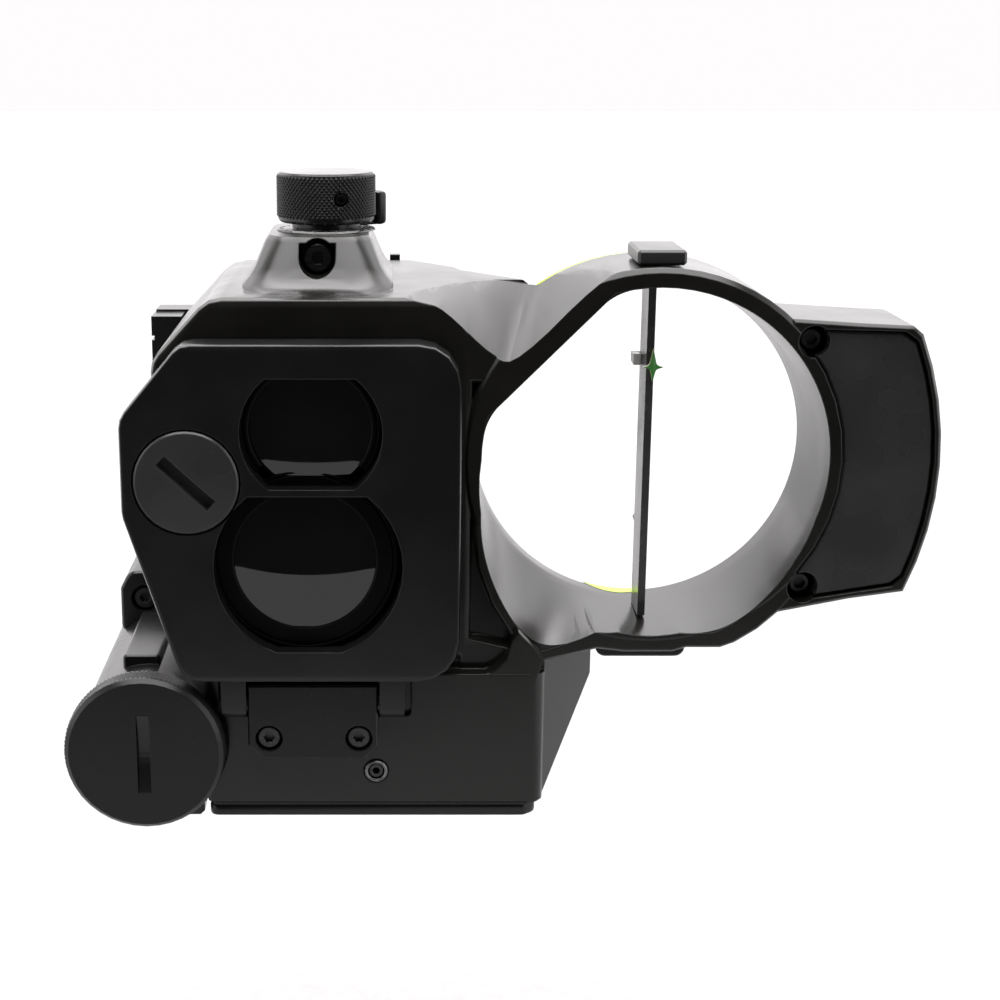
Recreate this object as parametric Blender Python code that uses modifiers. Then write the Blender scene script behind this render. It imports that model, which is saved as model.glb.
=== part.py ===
"""Laser-ranging bow sight: a cast frame with a sight ring, a hinged laser module, and a two-way riser mount.

Lengths are in millimetres until they reach a mesh, which is in metres. The design coordinates have the
ring's axis along Y through X = Z = 0 and the ring's front plane at Y = 0, with the archer at +Y. The empty
sight_frame carries them to the row's frame, whose origin is the middle of the riser mounting face.
"""

import math

import bmesh
import bpy
import numpy as np
from mathutils import Matrix, Vector

MM = 0.001
ORIGIN = (-32.0, 105.0, -8.0)  # middle of the riser mounting face, in design coordinates
GAP = 0.3  # between pieces that fit round each other
SEAM = 0.05  # between flat faces that are screwed together

RING_BORE = 27.0
RING_OUTER = 30.0
RING_DEPTH = 21.0
RING_FLAT = 23.4  # distance of the flat at the bore's upper left
RING_REAR_X = -0.3  # centre of the bore at the back, which the front flares out from
RING_REAR_Z = -0.75
RING_FLARE = (  # degrees round the front of the bore, and its radius there
    (-180, 27.0), (-163, 28.2), (-147, 30.9), (-137, 32.6), (-127, 34.4), (-118.6, 35.5), (-115, 33.4),
    (-107, 29.3), (-100, 28.4), (-90, 28.6), (-80, 28.5), (-70, 29.8), (-62, 29.6), (-50, 28.6), (-35, 27.6),
    (-20, 27.0), (0, 27.0),
)

BODY_LEFT = -78.0
BODY_RIGHT = -28.3
BODY_TOP = 25.3
BODY_BOTTOM = -33.0
BODY_BACK = 48.0
COVER_BACK = 54.0
COVER_RIGHT = -39.4

CHIN_LEFT = -70.6
CHIN_RIGHT = -16.5
CHIN_TOP = -34.2
CHIN_BOTTOM = -56.0
CHIN_FRONT = -2.5
CHIN_BACK = 42.0

BEZEL_FRONT = -8.0
BEZEL_BACK = -2.0
LASER_DEPTH = 17.0
UPPER_WINDOW = (-53.1, 6.0, 10.8)  # X, Z and radius
LOWER_WINDOW = (-53.7, -15.0, 14.5)
WINDOW_SPLIT = -3.15
PLUG = (-72.0, -1.5, 8.0)
PIVOT_Y = -4.3
PIVOT_Z = -38.5
PIVOT_PIN_R = 1.0

KNOB_X = -51.6
KNOB_Y = 24.0
KNOB_R = 7.85
KNOB_LOW = 34.6
KNOB_HIGH = 42.6
BOSS_TOP = 33.2
LEAD_SCREW_R = 1.8

TUBE_X = -79.9
TUBE_Z = -45.5
TUBE_R = 11.3
TUBE_FRONT = -1.9
TUBE_BACK = 43.5
CAP_R = 12.55
CELL_R = 8.4
CELL_LENGTH = 34.2

ARM_DEPTH = 17.5
ARM_ARC_X = -8.1  # centre of the arm's curved right edge
ARM_ARC_Z = -0.5
ARM_ARC_R = 52.4
ARM_SCREWS = ((23.6, 18.7), (24.0, -20.6))

POST_X = -0.3
POST_THICK = 1.2
POST_FRONT = 7.4
POST_BACK = 14.6

RAIL_Z = 6.2
SCREW_LINE_Z = -4.4
SCREW_LINE_Y = 58.2

BUTTON_X = -66.3
BUTTONS = (("button_up", -13.4), ("button_menu", -20.4), ("button_down", -27.4))
COVER_SCREWS = ((-72.6, 1.8), (-41.9, 18.0))

SEGMENTS = 32
ARC_STEP = math.radians(22.5)

for old in list(bpy.data.objects):
    bpy.data.objects.remove(old, do_unlink=True)

PARTS = bpy.data.collections.new("bow_sight")
CUTTERS = bpy.data.collections.new("bow_sight_cutters")
for group in (PARTS, CUTTERS):
    bpy.context.scene.collection.children.link(group)

sight_frame = bpy.data.objects.new("sight_frame", None)
sight_frame.location = [-value * MM for value in ORIGIN]
PARTS.objects.link(sight_frame)


# ---------------------------------------------------------------- materials

def finish(name, colour, roughness, metallic=0.0):
    material = bpy.data.materials.new(name)
    material.use_nodes = True
    shader = material.node_tree.nodes["Principled BSDF"]
    shader.inputs["Base Color"].default_value = (*colour, 1.0)
    shader.inputs["Roughness"].default_value = roughness
    shader.inputs["Metallic"].default_value = metallic
    return material


BLACK_CAST = finish("black_cast_metal", (0.018, 0.018, 0.018), 0.42, 0.2)
BLACK_ANODISED = finish("black_anodised", (0.014, 0.014, 0.014), 0.38, 0.5)
BLACK_PLASTIC = finish("black_plastic", (0.017, 0.017, 0.018), 0.5)
BLACK_RUBBER = finish("black_rubber", (0.02, 0.02, 0.02), 0.8)
DARK_STEEL = finish("dark_steel", (0.06, 0.06, 0.06), 0.35, 0.9)
STEEL = finish("bright_steel", (0.6, 0.6, 0.6), 0.3, 1.0)
BRASS = finish("brass", (0.6, 0.45, 0.2), 0.35, 1.0)
COATED_GLASS = finish("coated_glass", (0.01, 0.01, 0.015), 0.05)
CLEAR_GLASS = finish("clear_glass", (0.6, 0.7, 0.7), 0.05)
BOARD_GREEN = finish("board_green", (0.02, 0.12, 0.05), 0.5)
SCREEN_GREY = finish("screen_grey", (0.25, 0.28, 0.24), 0.3)
FLUORESCENT = finish("fluorescent_green", (0.55, 0.9, 0.1), 0.4)
PIN_GREEN = finish("pin_green", (0.02, 0.35, 0.02), 0.4)
CELL_WRAP = finish("cell_wrap", (0.1, 0.2, 0.5), 0.4)
POST_GREY = finish("post_grey", (0.35, 0.35, 0.36), 0.35, 0.4)


# ---------------------------------------------------------------- shapes

AXES = {
    "X": Matrix.Rotation(math.radians(90), 4, "Y"),
    "Y": Matrix.Rotation(math.radians(-90), 4, "X"),
    "Z": Matrix.Identity(4),
}
PLANES = {
    "X": Matrix(((0, 0, 1, 0), (1, 0, 0, 0), (0, 1, 0, 0), (0, 0, 0, 1))),
    "Y": Matrix(((1, 0, 0, 0), (0, 0, -1, 0), (0, 1, 0, 0), (0, 0, 0, 1))),
    "Z": Matrix.Identity(4),
}


def metres(point):
    return Vector(point) * MM


def add(name, mesh, at=(0.0, 0.0, 0.0), material=None):
    """A part, whose mesh is given about the point at, or a cutter where there is no material."""
    piece = bpy.data.objects.new(name, mesh)
    piece.location = metres(at)
    piece.parent = sight_frame
    if material:
        mesh.materials.append(material)
        PARTS.objects.link(piece)
    else:
        CUTTERS.objects.link(piece)
        piece.hide_render = True
        piece.display_type = "WIRE"
    return piece


def bevel(piece, width, segments=1, angle=40):
    step = piece.modifiers.new("edge_bevel", "BEVEL")
    step.width = width * MM
    step.segments = segments
    step.limit_method = "ANGLE"
    step.angle_limit = math.radians(angle)
    return piece


def boolean(piece, others, operation, solver="EXACT"):
    for other in others:
        step = piece.modifiers.new(f"{operation.lower()}_{other.name}", "BOOLEAN")
        step.operation = operation
        step.object = other
        step.solver = solver
    return piece


def cut(piece, *others, solver="EXACT"):
    """Takes shapes away. The MANIFOLD solver is for the pieces that the EXACT one leaves with open slits."""
    return boolean(piece, others, "DIFFERENCE", solver)


def join(piece, *others):
    return boolean(piece, others, "UNION")


def box(name, low, high, material=None, edge=0.0):
    """A block between two corners."""
    middle = [(a + b) / 2 for a, b in zip(low, high)]
    size = [(b - a) * MM for a, b in zip(low, high)]
    shape = bmesh.new()
    bmesh.ops.create_cube(shape, size=1.0, matrix=Matrix.Diagonal((*size, 1.0)))
    mesh = bpy.data.meshes.new(name)
    shape.to_mesh(mesh)
    shape.free()
    piece = add(name, mesh, middle, material)
    if edge:
        bevel(piece, edge)
    return piece


def turned(name, at, axis, profile, material=None, steps=SEGMENTS, closed=False):
    """A profile of (radius, distance along the axis), from the far end down its outside to the near end."""
    mesh = bpy.data.meshes.new(name)
    count = len(profile)
    edges = [(i, i + 1) for i in range(count - 1)]
    if closed:
        edges.append((count - 1, 0))
    mesh.from_pydata([(radius * MM, 0, along * MM) for radius, along in profile], edges, [])
    piece = add(name, mesh, at, material)
    piece.rotation_euler = AXES[axis].to_euler()
    step = piece.modifiers.new("turn", "SCREW")
    step.axis = "Z"
    step.steps = steps
    step.render_steps = steps
    step.use_merge_vertices = True
    step.merge_threshold = 0.00001
    step.use_smooth_shade = False
    return piece


def rod(name, at, axis, low, high, radius, material=None, steps=SEGMENTS, edge=0.0):
    """A cylinder from low to high along the axis through at, with chamfered ends."""
    profile = [(0, high), (radius - edge, high), (radius, high - edge)]
    profile += [(radius, low + edge), (radius - edge, low), (0, low)]
    if not edge:
        profile = [(0, high), (radius, high), (radius, low), (0, low)]
    return turned(name, at, axis, profile, material, steps)


def screw(name, at, axis, head, shank, material, drive=1.0, steps=16):
    """A cap screw whose head's outer face is at 0 and whose shank runs along +axis, with a hexagon socket."""
    head_r, head_length = head
    shank_r, shank_length = shank
    far = head_length + shank_length
    profile = [(0, far), (shank_r, far), (shank_r, head_length), (head_r, head_length)]
    profile += [(head_r, 0.2), (head_r - 0.2, 0), (0, 0)]
    piece = turned(name, at, axis, profile, material, steps)
    socket = rod(f"{name}_socket", at, axis, -0.5, head_length * 0.55, drive, steps=6)
    return cut(piece, socket)


def outline_mesh(name, points, low, high, normal, edge, rounding):
    """A flat outline made thick from low to high along its normal, its rims chamfered or rounded by edge."""
    curve = bpy.data.curves.new(name, "CURVE")
    curve.dimensions = "2D"
    curve.fill_mode = "BOTH"
    curve.extrude = ((high - low) / 2 - edge) * MM
    curve.bevel_depth = edge * MM
    curve.bevel_resolution = rounding
    curve.offset = -edge * MM
    spline = curve.splines.new("POLY")
    spline.points.add(len(points) - 1)
    for point, (u, v) in zip(spline.points, points):
        point.co = (u * MM, v * MM, 0, 1)
    spline.use_cyclic_u = True
    holder = bpy.data.objects.new(name, curve)
    bpy.context.scene.collection.objects.link(holder)
    graph = bpy.context.evaluated_depsgraph_get()
    mesh = bpy.data.meshes.new_from_object(holder.evaluated_get(graph))
    bpy.data.objects.remove(holder)
    mesh.transform(PLANES[normal])
    shape = bmesh.new()
    shape.from_mesh(mesh)
    bmesh.ops.remove_doubles(shape, verts=shape.verts, dist=1e-7)
    bmesh.ops.recalc_face_normals(shape, faces=shape.faces)
    shape.to_mesh(mesh)
    shape.free()
    return mesh


def plate(name, points, low, high, normal="Y", material=None, edge=0.0, rounding=0):
    """An outline between low and high along its normal: in X and Z for Y, X and Y for Z, Y and Z for X."""
    mesh = outline_mesh(name, points, low, high, normal, edge, rounding)
    at = Vector((0.0, 0.0, 0.0))
    at["XYZ".index(normal)] = (low + high) / 2
    return add(name, mesh, at, material)


def hull(name, points, material=None):
    """The convex solid round some points."""
    shape = bmesh.new()
    for point in points:
        shape.verts.new(metres(point))
    bmesh.ops.convex_hull(shape, input=shape.verts)
    bmesh.ops.recalc_face_normals(shape, faces=shape.faces)
    mesh = bpy.data.meshes.new(name)
    shape.to_mesh(mesh)
    shape.free()
    return add(name, mesh, (0, 0, 0), material)


def loft(name, sections, levels):
    """A solid through outlines in X and Z that have the same number of points, one at each level of Y."""
    count = len(sections[0])
    points = []
    for outline, level in zip(sections, levels):
        points.extend(metres((x, level, z)) for x, z in outline)
    faces = [list(range(count)), [len(points) - 1 - i for i in range(count)]]
    for row in range(len(sections) - 1):
        for i in range(count):
            j = (i + 1) % count
            faces.append([row * count + j, row * count + i, (row + 1) * count + i, (row + 1) * count + j])
    mesh = bpy.data.meshes.new(name)
    mesh.from_pydata(points, [], faces)
    shape = bmesh.new()
    shape.from_mesh(mesh)
    bmesh.ops.recalc_face_normals(shape, faces=shape.faces)
    shape.to_mesh(mesh)
    shape.free()
    return add(name, mesh)


def rounded(corners):
    """An outline from (u, v, radius) corners, with an arc at each corner that has a radius."""
    points = []
    for index, (u, v, radius) in enumerate(corners):
        corner = Vector((u, v))
        if not radius:
            points.append(corner)
            continue
        back = (Vector(corners[index - 1][:2]) - corner).normalized()
        ahead = (Vector(corners[(index + 1) % len(corners)][:2]) - corner).normalized()
        half = back.angle(ahead) / 2
        centre = corner + (back + ahead).normalized() * (radius / math.sin(half))
        start = corner + back * (radius / math.tan(half)) - centre
        turn = math.copysign(math.pi - 2 * half, back.x * ahead.y - back.y * ahead.x) * -1
        steps = max(1, round(abs(turn) / ARC_STEP))
        for step in range(steps + 1):
            angle = turn * step / steps
            spin = Matrix.Rotation(angle, 2)
            points.append(centre + spin @ start)
    return points


def arc(centre, radius, start, end, steps):
    """Points on a circle, from one angle in degrees to another."""
    points = []
    for step in range(steps + 1):
        angle = math.radians(start + (end - start) * step / steps)
        points.append((centre[0] + radius * math.cos(angle), centre[1] + radius * math.sin(angle)))
    return points


def softened(corners, passes=2):
    """An open chain whose inner corners are cut again and again, to leave a smooth curve."""
    points = [Vector(corner) for corner in corners]
    for _ in range(passes):
        inner = []
        for before, corner, after in zip(points, points[1:], points[2:]):
            inner.append(corner.lerp(before, 0.25))
            inner.append(corner.lerp(after, 0.25))
        points = [points[0], *inner, points[-1]]
    return points


def stadium(low_u, high_u, low_v, high_v, radius):
    return rounded([
        (low_u, low_v, radius),
        (high_u, low_v, radius),
        (high_u, high_v, radius),
        (low_u, high_v, radius),
    ])


# ---------------------------------------------------------------- outlines

def bore_angles():
    """Degrees round the bore, every five and at each corner of the flare."""
    return sorted(set(range(-180, 180, 5)) | {angle for angle, _ in RING_FLARE})


def bore_point(angle, radius):
    """A point of the bore's outline, which the flat at the upper left cuts short."""
    turn = math.radians(angle)
    facing = math.cos(turn - math.radians(135))
    if facing > 0.5:
        radius = min(radius, RING_FLAT / facing)
    return (radius * math.cos(turn), radius * math.sin(turn))


def bore_front():
    """The mouth of the bore: a circle above, flared out at its lower left and squared along the bottom."""
    angles, radii = zip(*RING_FLARE)
    return [bore_point(angle, float(np.interp(angle, angles, radii, period=360))) for angle in bore_angles()]


def bore_rear():
    outline = []
    for angle in bore_angles():
        turn = math.radians(angle)
        shift = RING_REAR_X * math.cos(turn) + RING_REAR_Z * math.sin(turn)
        outline.append(bore_point(angle, RING_BORE + shift))
    return outline


def bezel_outline(inset=0.0):
    return rounded([
        (-72.6 + inset, 19.6 - inset, 3.5),
        (-82.0 + inset, 8.2 - inset, 4.0),
        (-82.0 + inset, -6.8, 4.0),
        (-73.4 + inset, -33.6 + inset, 4.0),
        (-30.4 - inset, -33.6 + inset, 6.5),
        (-30.4 - inset, 19.6 - inset, 6.5),
    ])


def body_outline(inset=0.0):
    return rounded([
        (BODY_LEFT + inset, -9.0, 3.0),
        (-70.6 + inset, BODY_BOTTOM + inset, 2.0),
        (BODY_RIGHT - inset, BODY_BOTTOM + inset, 2.0),
        (BODY_RIGHT - inset, BODY_TOP - inset, 2.0),
        (-69.0 + inset, BODY_TOP - inset, 5.0),
        (BODY_LEFT + inset, 15.5, 4.0),
    ])


def window_outline(window, low, high, grow=0.0):
    """A circle cut off by two level lines."""
    x, z, radius = window
    radius += grow
    points = []
    for step in range(36):
        angle = 2 * math.pi * step / 36
        level = min(max(z + radius * math.sin(angle), low), high)
        reach = math.sqrt(max(radius ** 2 - (level - z) ** 2, 0.0))
        points.append((x + math.copysign(reach, math.cos(angle)), level))
    return [p for i, p in enumerate(points) if (Vector(p) - Vector(points[i - 1])).length > 0.05]


def arm_edge(inset, low, high, steps=8):
    """Points up the arm's curved right edge, from the level low to the level high."""
    radius = ARM_ARC_R - inset
    start = math.degrees(math.asin((low - ARM_ARC_Z) / radius))
    end = math.degrees(math.asin((high - ARM_ARC_Z) / radius))
    return arc((ARM_ARC_X, ARM_ARC_Z), radius, start, end, steps)


def arm_panel_outline(inset):
    """The recess in the arm's face: curved on the right, and concentric with the ring on the left."""
    left = arc((0, 0), 28.9 + inset, 38.5, -38.5, 8)
    bottom = [(25.6, -22.4 + inset), (38.2 - inset, -20.4 + inset)]
    right = arm_edge(1.0 + inset, -19.0 + inset, 18.8 - inset)
    top = [(37.4 - inset, 20.3 - inset), (25.0, 20.6 - inset)]
    return left + bottom + right + top


# ---------------------------------------------------------------- riser mount

def make_riser_mount():
    """The bracket that bolts to the bow's riser, and the dovetail rail that the sight slides along."""
    face = ORIGIN[0]
    bracket = plate(
        "riser_bracket",
        rounded([(61.5, -12, 3), (84, -26, 4), (128, -26, 5), (128, 10, 5), (84, 10, 4), (74, 14.6, 3),
                 (61.5, 14.6, 3)]),
        face - 6, face, "X", BLACK_ANODISED, edge=0.6,
    )
    for number, offset in enumerate((-16.65, 16.65)):
        at = (face, ORIGIN[1] + offset, ORIGIN[2])
        cut(bracket, rod(f"riser_hole_{number}", at, "X", -8, 2, 2.7, steps=18), solver="MANIFOLD")
        cut(bracket, rod(f"riser_counterbore_{number}", at, "X", -8, -3.6, 4.8, steps=18), solver="MANIFOLD")

    rail_end = face - 6 - SEAM
    profile = [(58, RAIL_Z + 7), (58, RAIL_Z - 7), (62, RAIL_Z - 4.5), (62, RAIL_Z - 8), (68, RAIL_Z - 8)]
    profile += [(68, RAIL_Z + 8), (62, RAIL_Z + 8), (62, RAIL_Z + 4.5)]
    rail = plate("windage_rail", profile, -85.0, rail_end, "X", BLACK_ANODISED)
    end_block = box("rail_end_block", (-85.2, 56.0, -8.4), (-79.6, 67.8, RAIL_Z + 7.6))
    near_block = box("rail_near_block", (-41.2, 62.6, -8.4), (rail_end - 0.2, 67.6, -1.5))
    join(rail, end_block, near_block)
    lip = box("rail_end_lip", (-86.0, 55.0, 9.4), (-84.7, 69.0, 10.2))
    screw_way = rod("windage_screw_way", (0, SCREW_LINE_Y, SCREW_LINE_Z), "X", -90, -70, 1.8, steps=18)
    screw_head = rod("windage_screw_seat", (0, SCREW_LINE_Y, SCREW_LINE_Z), "X", -90, -83.0, 2.9, steps=18)
    cut(rail, lip, screw_way, screw_head, solver="MANIFOLD")

    for name, level in (("rail_screw_upper", RAIL_Z + 4), ("rail_screw_lower", RAIL_Z - 4)):
        at = (face - 0.6, 65.4, level)
        cut(bracket, rod(f"{name}_hole", at, "X", -8, 2, 1.6, steps=16), solver="MANIFOLD")
        cut(bracket, rod(f"{name}_seat", at, "X", -2.6, 2, 2.9, steps=16), solver="MANIFOLD")
        cut(rail, rod(f"{name}_thread", at, "X", -12, 2, 1.6, steps=16), solver="MANIFOLD")
        piece = turned(
            name, at, "X",
            [(0, 0), (2.5, 0), (2.5, -2.2), (1.25, -2.2), (1.25, -10.5), (0, -10.5)],
            DARK_STEEL, steps=16,
        )
        cut(piece, rod(f"{name}_socket", at, "X", -1.4, 0.5, 1.2, steps=6))


def make_windage_screw():
    """The socket-headed screw that pushes the carriage along the rail."""
    at = (0, SCREW_LINE_Y, SCREW_LINE_Z)
    profile = [(0, -42.2), (1.2, -42.2), (1.45, -42.6), (1.45, -83.3), (2.5, -83.3), (2.5, -85.9), (0, -85.9)]
    piece = turned("windage_screw", at, "X", profile, DARK_STEEL, steps=18)
    cut(piece, rod("windage_screw_socket", at, "X", -87, -84.4, 1.3, steps=6))


def make_carriage():
    """The saddle on the rail, and the nut that holds the sight's body to it through the rear cover."""
    front = COVER_BACK + GAP
    back = 61.7
    block = box("carriage_block", (-63.5, front, -8.4), (-43.0, back, 16.0), BLACK_ANODISED, edge=0.5)
    way = [(front + 3.2, RAIL_Z + 7.5), (front + 3.2, RAIL_Z - 7.5), (62.2, RAIL_Z - 4.6),
           (62.2, RAIL_Z + 4.6)]
    dovetail = plate("carriage_dovetail", way, -70, -35, "X")
    bore = rod("carriage_screw_bore", (0, SCREW_LINE_Y, SCREW_LINE_Z), "X", -70, -35, 1.8, steps=18)
    cut(block, dovetail, bore)

    nut = box("elevation_nut", (-60.0, 42.0, -0.3), (-43.0, BODY_BACK - GAP, 14.0), BRASS)
    arm = box("elevation_nut_arm", (-55.4, LASER_DEPTH + 2.6, 3.0), (-47.4, 43.0, 11.0))
    neck = box("elevation_nut_neck", (-56.0, 47.0, -0.2), (-47.0, front - SEAM, 13.9))
    join(nut, arm, neck)
    cut(nut, rod("elevation_nut_bore", (KNOB_X, KNOB_Y, 0), "Z", 1, 13, LEAD_SCREW_R + GAP, steps=16))


# ---------------------------------------------------------------- main casting

def casting_solids():
    """The shapes that are added to the casting's body."""
    ring = turned(
        "casting_ring", (0, 0, 0), "Y",
        [(0, RING_DEPTH), (RING_OUTER - 0.6, RING_DEPTH), (RING_OUTER, RING_DEPTH - 0.6),
         (RING_OUTER, 0.5), (RING_OUTER - 0.8, -0.3), (0, -0.3)],
        steps=64,
    )
    foot = plate(
        "casting_ring_foot",
        [(-15, -8), (-28.4, -8), (-27.4, -17.5), (-25.3, -23.2), (-22.2, -28.2), (-18.0, -33.2),
         (-8.2, -30.8), (-3.9, -31.3), (3.8, -31.3), (6.0, -30.6), (11.4, -30.6), (13.6, -29.8),
         (17.2, -27.5), (20.8, -24.2), (24.2, -20.0), (26.8, -14.0)],
        -0.2, RING_DEPTH - 0.1, edge=0.4,
    )
    web = plate(
        "casting_web",
        [(-31, 3), (-27.5, 3), (-26.5, -8), (-24, -20), (-19.6, -31.0), (-31, -31.0)],
        2.2, RING_DEPTH - 0.3,
    )
    arm = plate(
        "casting_arm",
        [(20, 22.2), (20, -24.8), (31.5, -22.5)] + arm_edge(0.0, -21.3, 19.8)
        + [(38.6, 21.1), (30.5, 21.5)],
        -0.1, ARM_DEPTH, edge=0.5,
    )
    bridge = plate(
        "casting_bridge",
        [(-48, 0.2), (-14, 0.2), (-14, RING_DEPTH - 0.3), (-17.5, RING_DEPTH - 0.3), (-39.0, BODY_BACK - 0.4),
         (-48, BODY_BACK - 0.4)],
        12.0, BODY_TOP - 0.08, "Z", edge=0.7,
    )
    chin = plate(
        "casting_chin",
        rounded([(CHIN_LEFT, CHIN_FRONT, 1.0), (CHIN_RIGHT, CHIN_FRONT, 2.2), (CHIN_RIGHT, 16, 6),
                 (-30, CHIN_BACK, 4), (CHIN_LEFT, CHIN_BACK, 4)]),
        CHIN_BOTTOM, CHIN_TOP, "Z",
    )
    chin_root = box(
        "casting_chin_root", (CHIN_LEFT + 0.4, 0.4, CHIN_TOP - 3), (-26.0, CHIN_BACK - 0.7, -31.0),
    )
    flank = hull(
        "casting_flank",
        [(-30, 0.1, -29), (CHIN_RIGHT, 0.1, -32.2), (-7.7, 12.5, -30), (-7.7, RING_DEPTH - 0.4, -30),
         (-30, RING_DEPTH - 0.4, -29), (-30, 0.1, CHIN_BOTTOM + 0.4), (CHIN_RIGHT, 0.1, CHIN_BOTTOM + 0.4),
         (-7.7, 12.5, -39.5), (-8.2, RING_DEPTH - 0.4, -38), (-30, RING_DEPTH - 0.4, -50)],
    )
    lip = plate(
        "casting_corner",
        [(-26.5, CHIN_TOP - 1.5), (CHIN_RIGHT - 1.6, CHIN_TOP - 1.5), (CHIN_RIGHT - 0.4, -32.0),
         (-20.5, -26.9), (-21.8, -28.6), (-22.7, -31.8), (-24.6, -33.6), (-26.5, CHIN_TOP - 0.2)],
        CHIN_FRONT + 0.1, 2.0,
    )
    return ring, foot, web, arm, bridge, chin, chin_root, flank, lip, *boss_solids()


def boss_solids():
    """The raised seat under the knob, whose walls lean in and flow out into the top of the case."""
    levels = ((BODY_TOP - 1.0, 5.6), (BODY_TOP, 5.2), (BODY_TOP + 0.8, 3.2), (BODY_TOP + 1.9, 1.4),
              (BODY_TOP + 3.3, 0.0), (BOSS_TOP - 0.8, -2.6), (BOSS_TOP, -3.6))
    slices = []
    for number, (below, above) in enumerate(zip(levels, levels[1:])):
        points = []
        for level, reach in (below, above):
            side = min(reach, 3.0) * 0.6
            outline = stadium(-62.7 - side, -42.5 + side, 9.2 - reach, 38.0 + side, 5 + max(reach, 0) * 0.4)
            points += [(x, y, level) for x, y in outline]
        slices.append(hull(f"casting_boss_{number}", points))
    return slices


def valley_solid():
    """The space above the saddle between the case and the ring, deep in front and shallow behind."""
    front = softened([(-41, 25.7), (-36.5, 24.7), (-33.2, 24.0), (-25.2, 15.8), (-21.5, 15.65), (-9.6, 28.0),
                      (-5, 29.9)])
    rear = softened([(-40, 26.2), (-36, 26.0), (-29, 25.6), (-20.4, 24.9), (-17.2, 24.2), (-12.4, 28.2),
                     (-5.2, 30.3)])
    roof = [Vector((-5, 34)), Vector((-41, 34))]
    sections = []
    levels = (-1.0, 0.0, RING_DEPTH / 3, RING_DEPTH * 2 / 3, RING_DEPTH, RING_DEPTH + 1)
    for level in levels:
        depth = min(max(level / RING_DEPTH, 0.0), 1.0)
        sections.append([a.lerp(b, depth) for a, b in zip(front + roof, rear + roof)])
    return loft("void_scoop", sections, levels)


def casting_voids():
    """The shapes that are taken out of the casting."""
    scoop = valley_solid()
    bore = loft("void_bore", (bore_front(), bore_front(), bore_rear()), (-6.0, 0.0, RING_DEPTH + 1.0))
    behind = hull(
        "void_behind_ring",
        [(x, y, z) for x, y in ((-12, RING_DEPTH - 0.15), (-28.2, RING_DEPTH - 0.15), (-39.0, BODY_BACK + 1),
                                (-12, BODY_BACK + 1)) for z in (-31, 12)],
    )
    rear_corner = hull(
        "void_rear_corner",
        [(x, y, z) for x, y in ((-17.5, RING_DEPTH - 0.15), (-39.2, BODY_BACK + 1), (-10, BODY_BACK + 1),
                                (-10, RING_DEPTH - 0.15)) for z in (-32, 30)],
    )
    laser_bay = plate("void_laser_bay", stadium(-75.2, -36.2, -31.8, 16.6, 2), -1, LASER_DEPTH + 2)
    rear_bay = plate(
        "void_rear_bay",
        rounded([(-75.4, -9.5, 2), (-69, -30, 2), (-42, -30, 2), (-42, 22.6, 2), (-68, 22.6, 3),
                 (-75.4, 14, 3)]),
        LASER_DEPTH + 1, BODY_BACK + 1,
    )
    tube = rod("void_tube", (TUBE_X, 0, TUBE_Z), "Y", -12, 60, TUBE_R + GAP, steps=36)
    cap = rod("void_cap", (TUBE_X, 0, TUBE_Z), "Y", -12, -1.9, CAP_R + GAP, steps=36)
    hinge = plate("void_hinge_seat", stadium(-68.4, -37.8, -41.2, -30, 0.8), -4, -1.4)
    hinge_front = box("void_hinge_clear", (-68.4, -4, CHIN_TOP - 0.1), (-37.8, 0.0, -30))
    arm_recess = plate("void_arm_recess", arm_panel_outline(0.0), -1, 3.2)
    arm_bay = plate("void_arm_bay", arm_panel_outline(1.6), 3, ARM_DEPTH + 1)
    post_slot = box("void_post_foot", (POST_X - 1.3, 7.0, -29.6), (POST_X + 3.8, 17.4, -24))
    post_top = box(
        "void_post_top", (POST_X - 0.9, POST_FRONT - GAP, 24), (POST_X + 0.9, POST_BACK + GAP, 28.4),
    )
    rim = rod("void_ring_rim", (RING_REAR_X, 0, RING_REAR_Z), "Y", RING_DEPTH - 3.4, RING_DEPTH + 3,
              RING_BORE + 1.2, steps=64)
    knob_way = rod("void_knob_way", (KNOB_X, KNOB_Y, 0), "Z", 20, 40, LEAD_SCREW_R + GAP, steps=16)
    lock_slot = rod("void_lock_slot", (-52.6, 0, 30.1), "Y", 4, 16.8, 2.9, steps=24)
    lock_slot_top = box("void_lock_slot_top", (-55.5, 4, 30.1), (-49.7, 16.8, 32.3))
    return (scoop, bore, behind, rear_corner, laser_bay, rear_bay, tube, cap, hinge, hinge_front,
            arm_recess, arm_bay, post_slot, post_top, rim, knob_way, lock_slot, lock_slot_top)


def make_casting():
    """The frame: laser and electronics box, chin, sight ring and arm in one piece."""
    casting = plate("main_casting", body_outline(), 0, BODY_BACK, "Y", BLACK_CAST, edge=1.2, rounding=1)
    join(casting, *casting_solids())
    cut(casting, *casting_voids(), solver="MANIFOLD")
    holes = [rod("adjust_screw_hole", (-43.4, 0, -50.6), "Y", -4, 9, 2.0, steps=18)]
    for number, (x, z) in enumerate(ARM_SCREWS):
        holes.append(rod(f"arm_screw_seat_{number}", (x, 0, z), "Y", -1, 6, 2.5, steps=18))
    for number, x in enumerate((-60.3, -46.1)):
        holes.append(rod(f"hinge_screw_hole_{number}", (x, 0, -43.7), "Y", -4, 6, 1.3, steps=16))
    for number, (x, z) in enumerate(COVER_SCREWS):
        at = (x, COVER_BACK - 0.4, z)
        holes.append(rod(f"cover_screw_thread_{number}", at, "Y", -12, 1, 1.3, steps=16))
    cut(casting, *holes, solver="MANIFOLD")


# ---------------------------------------------------------------- body fittings

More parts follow.
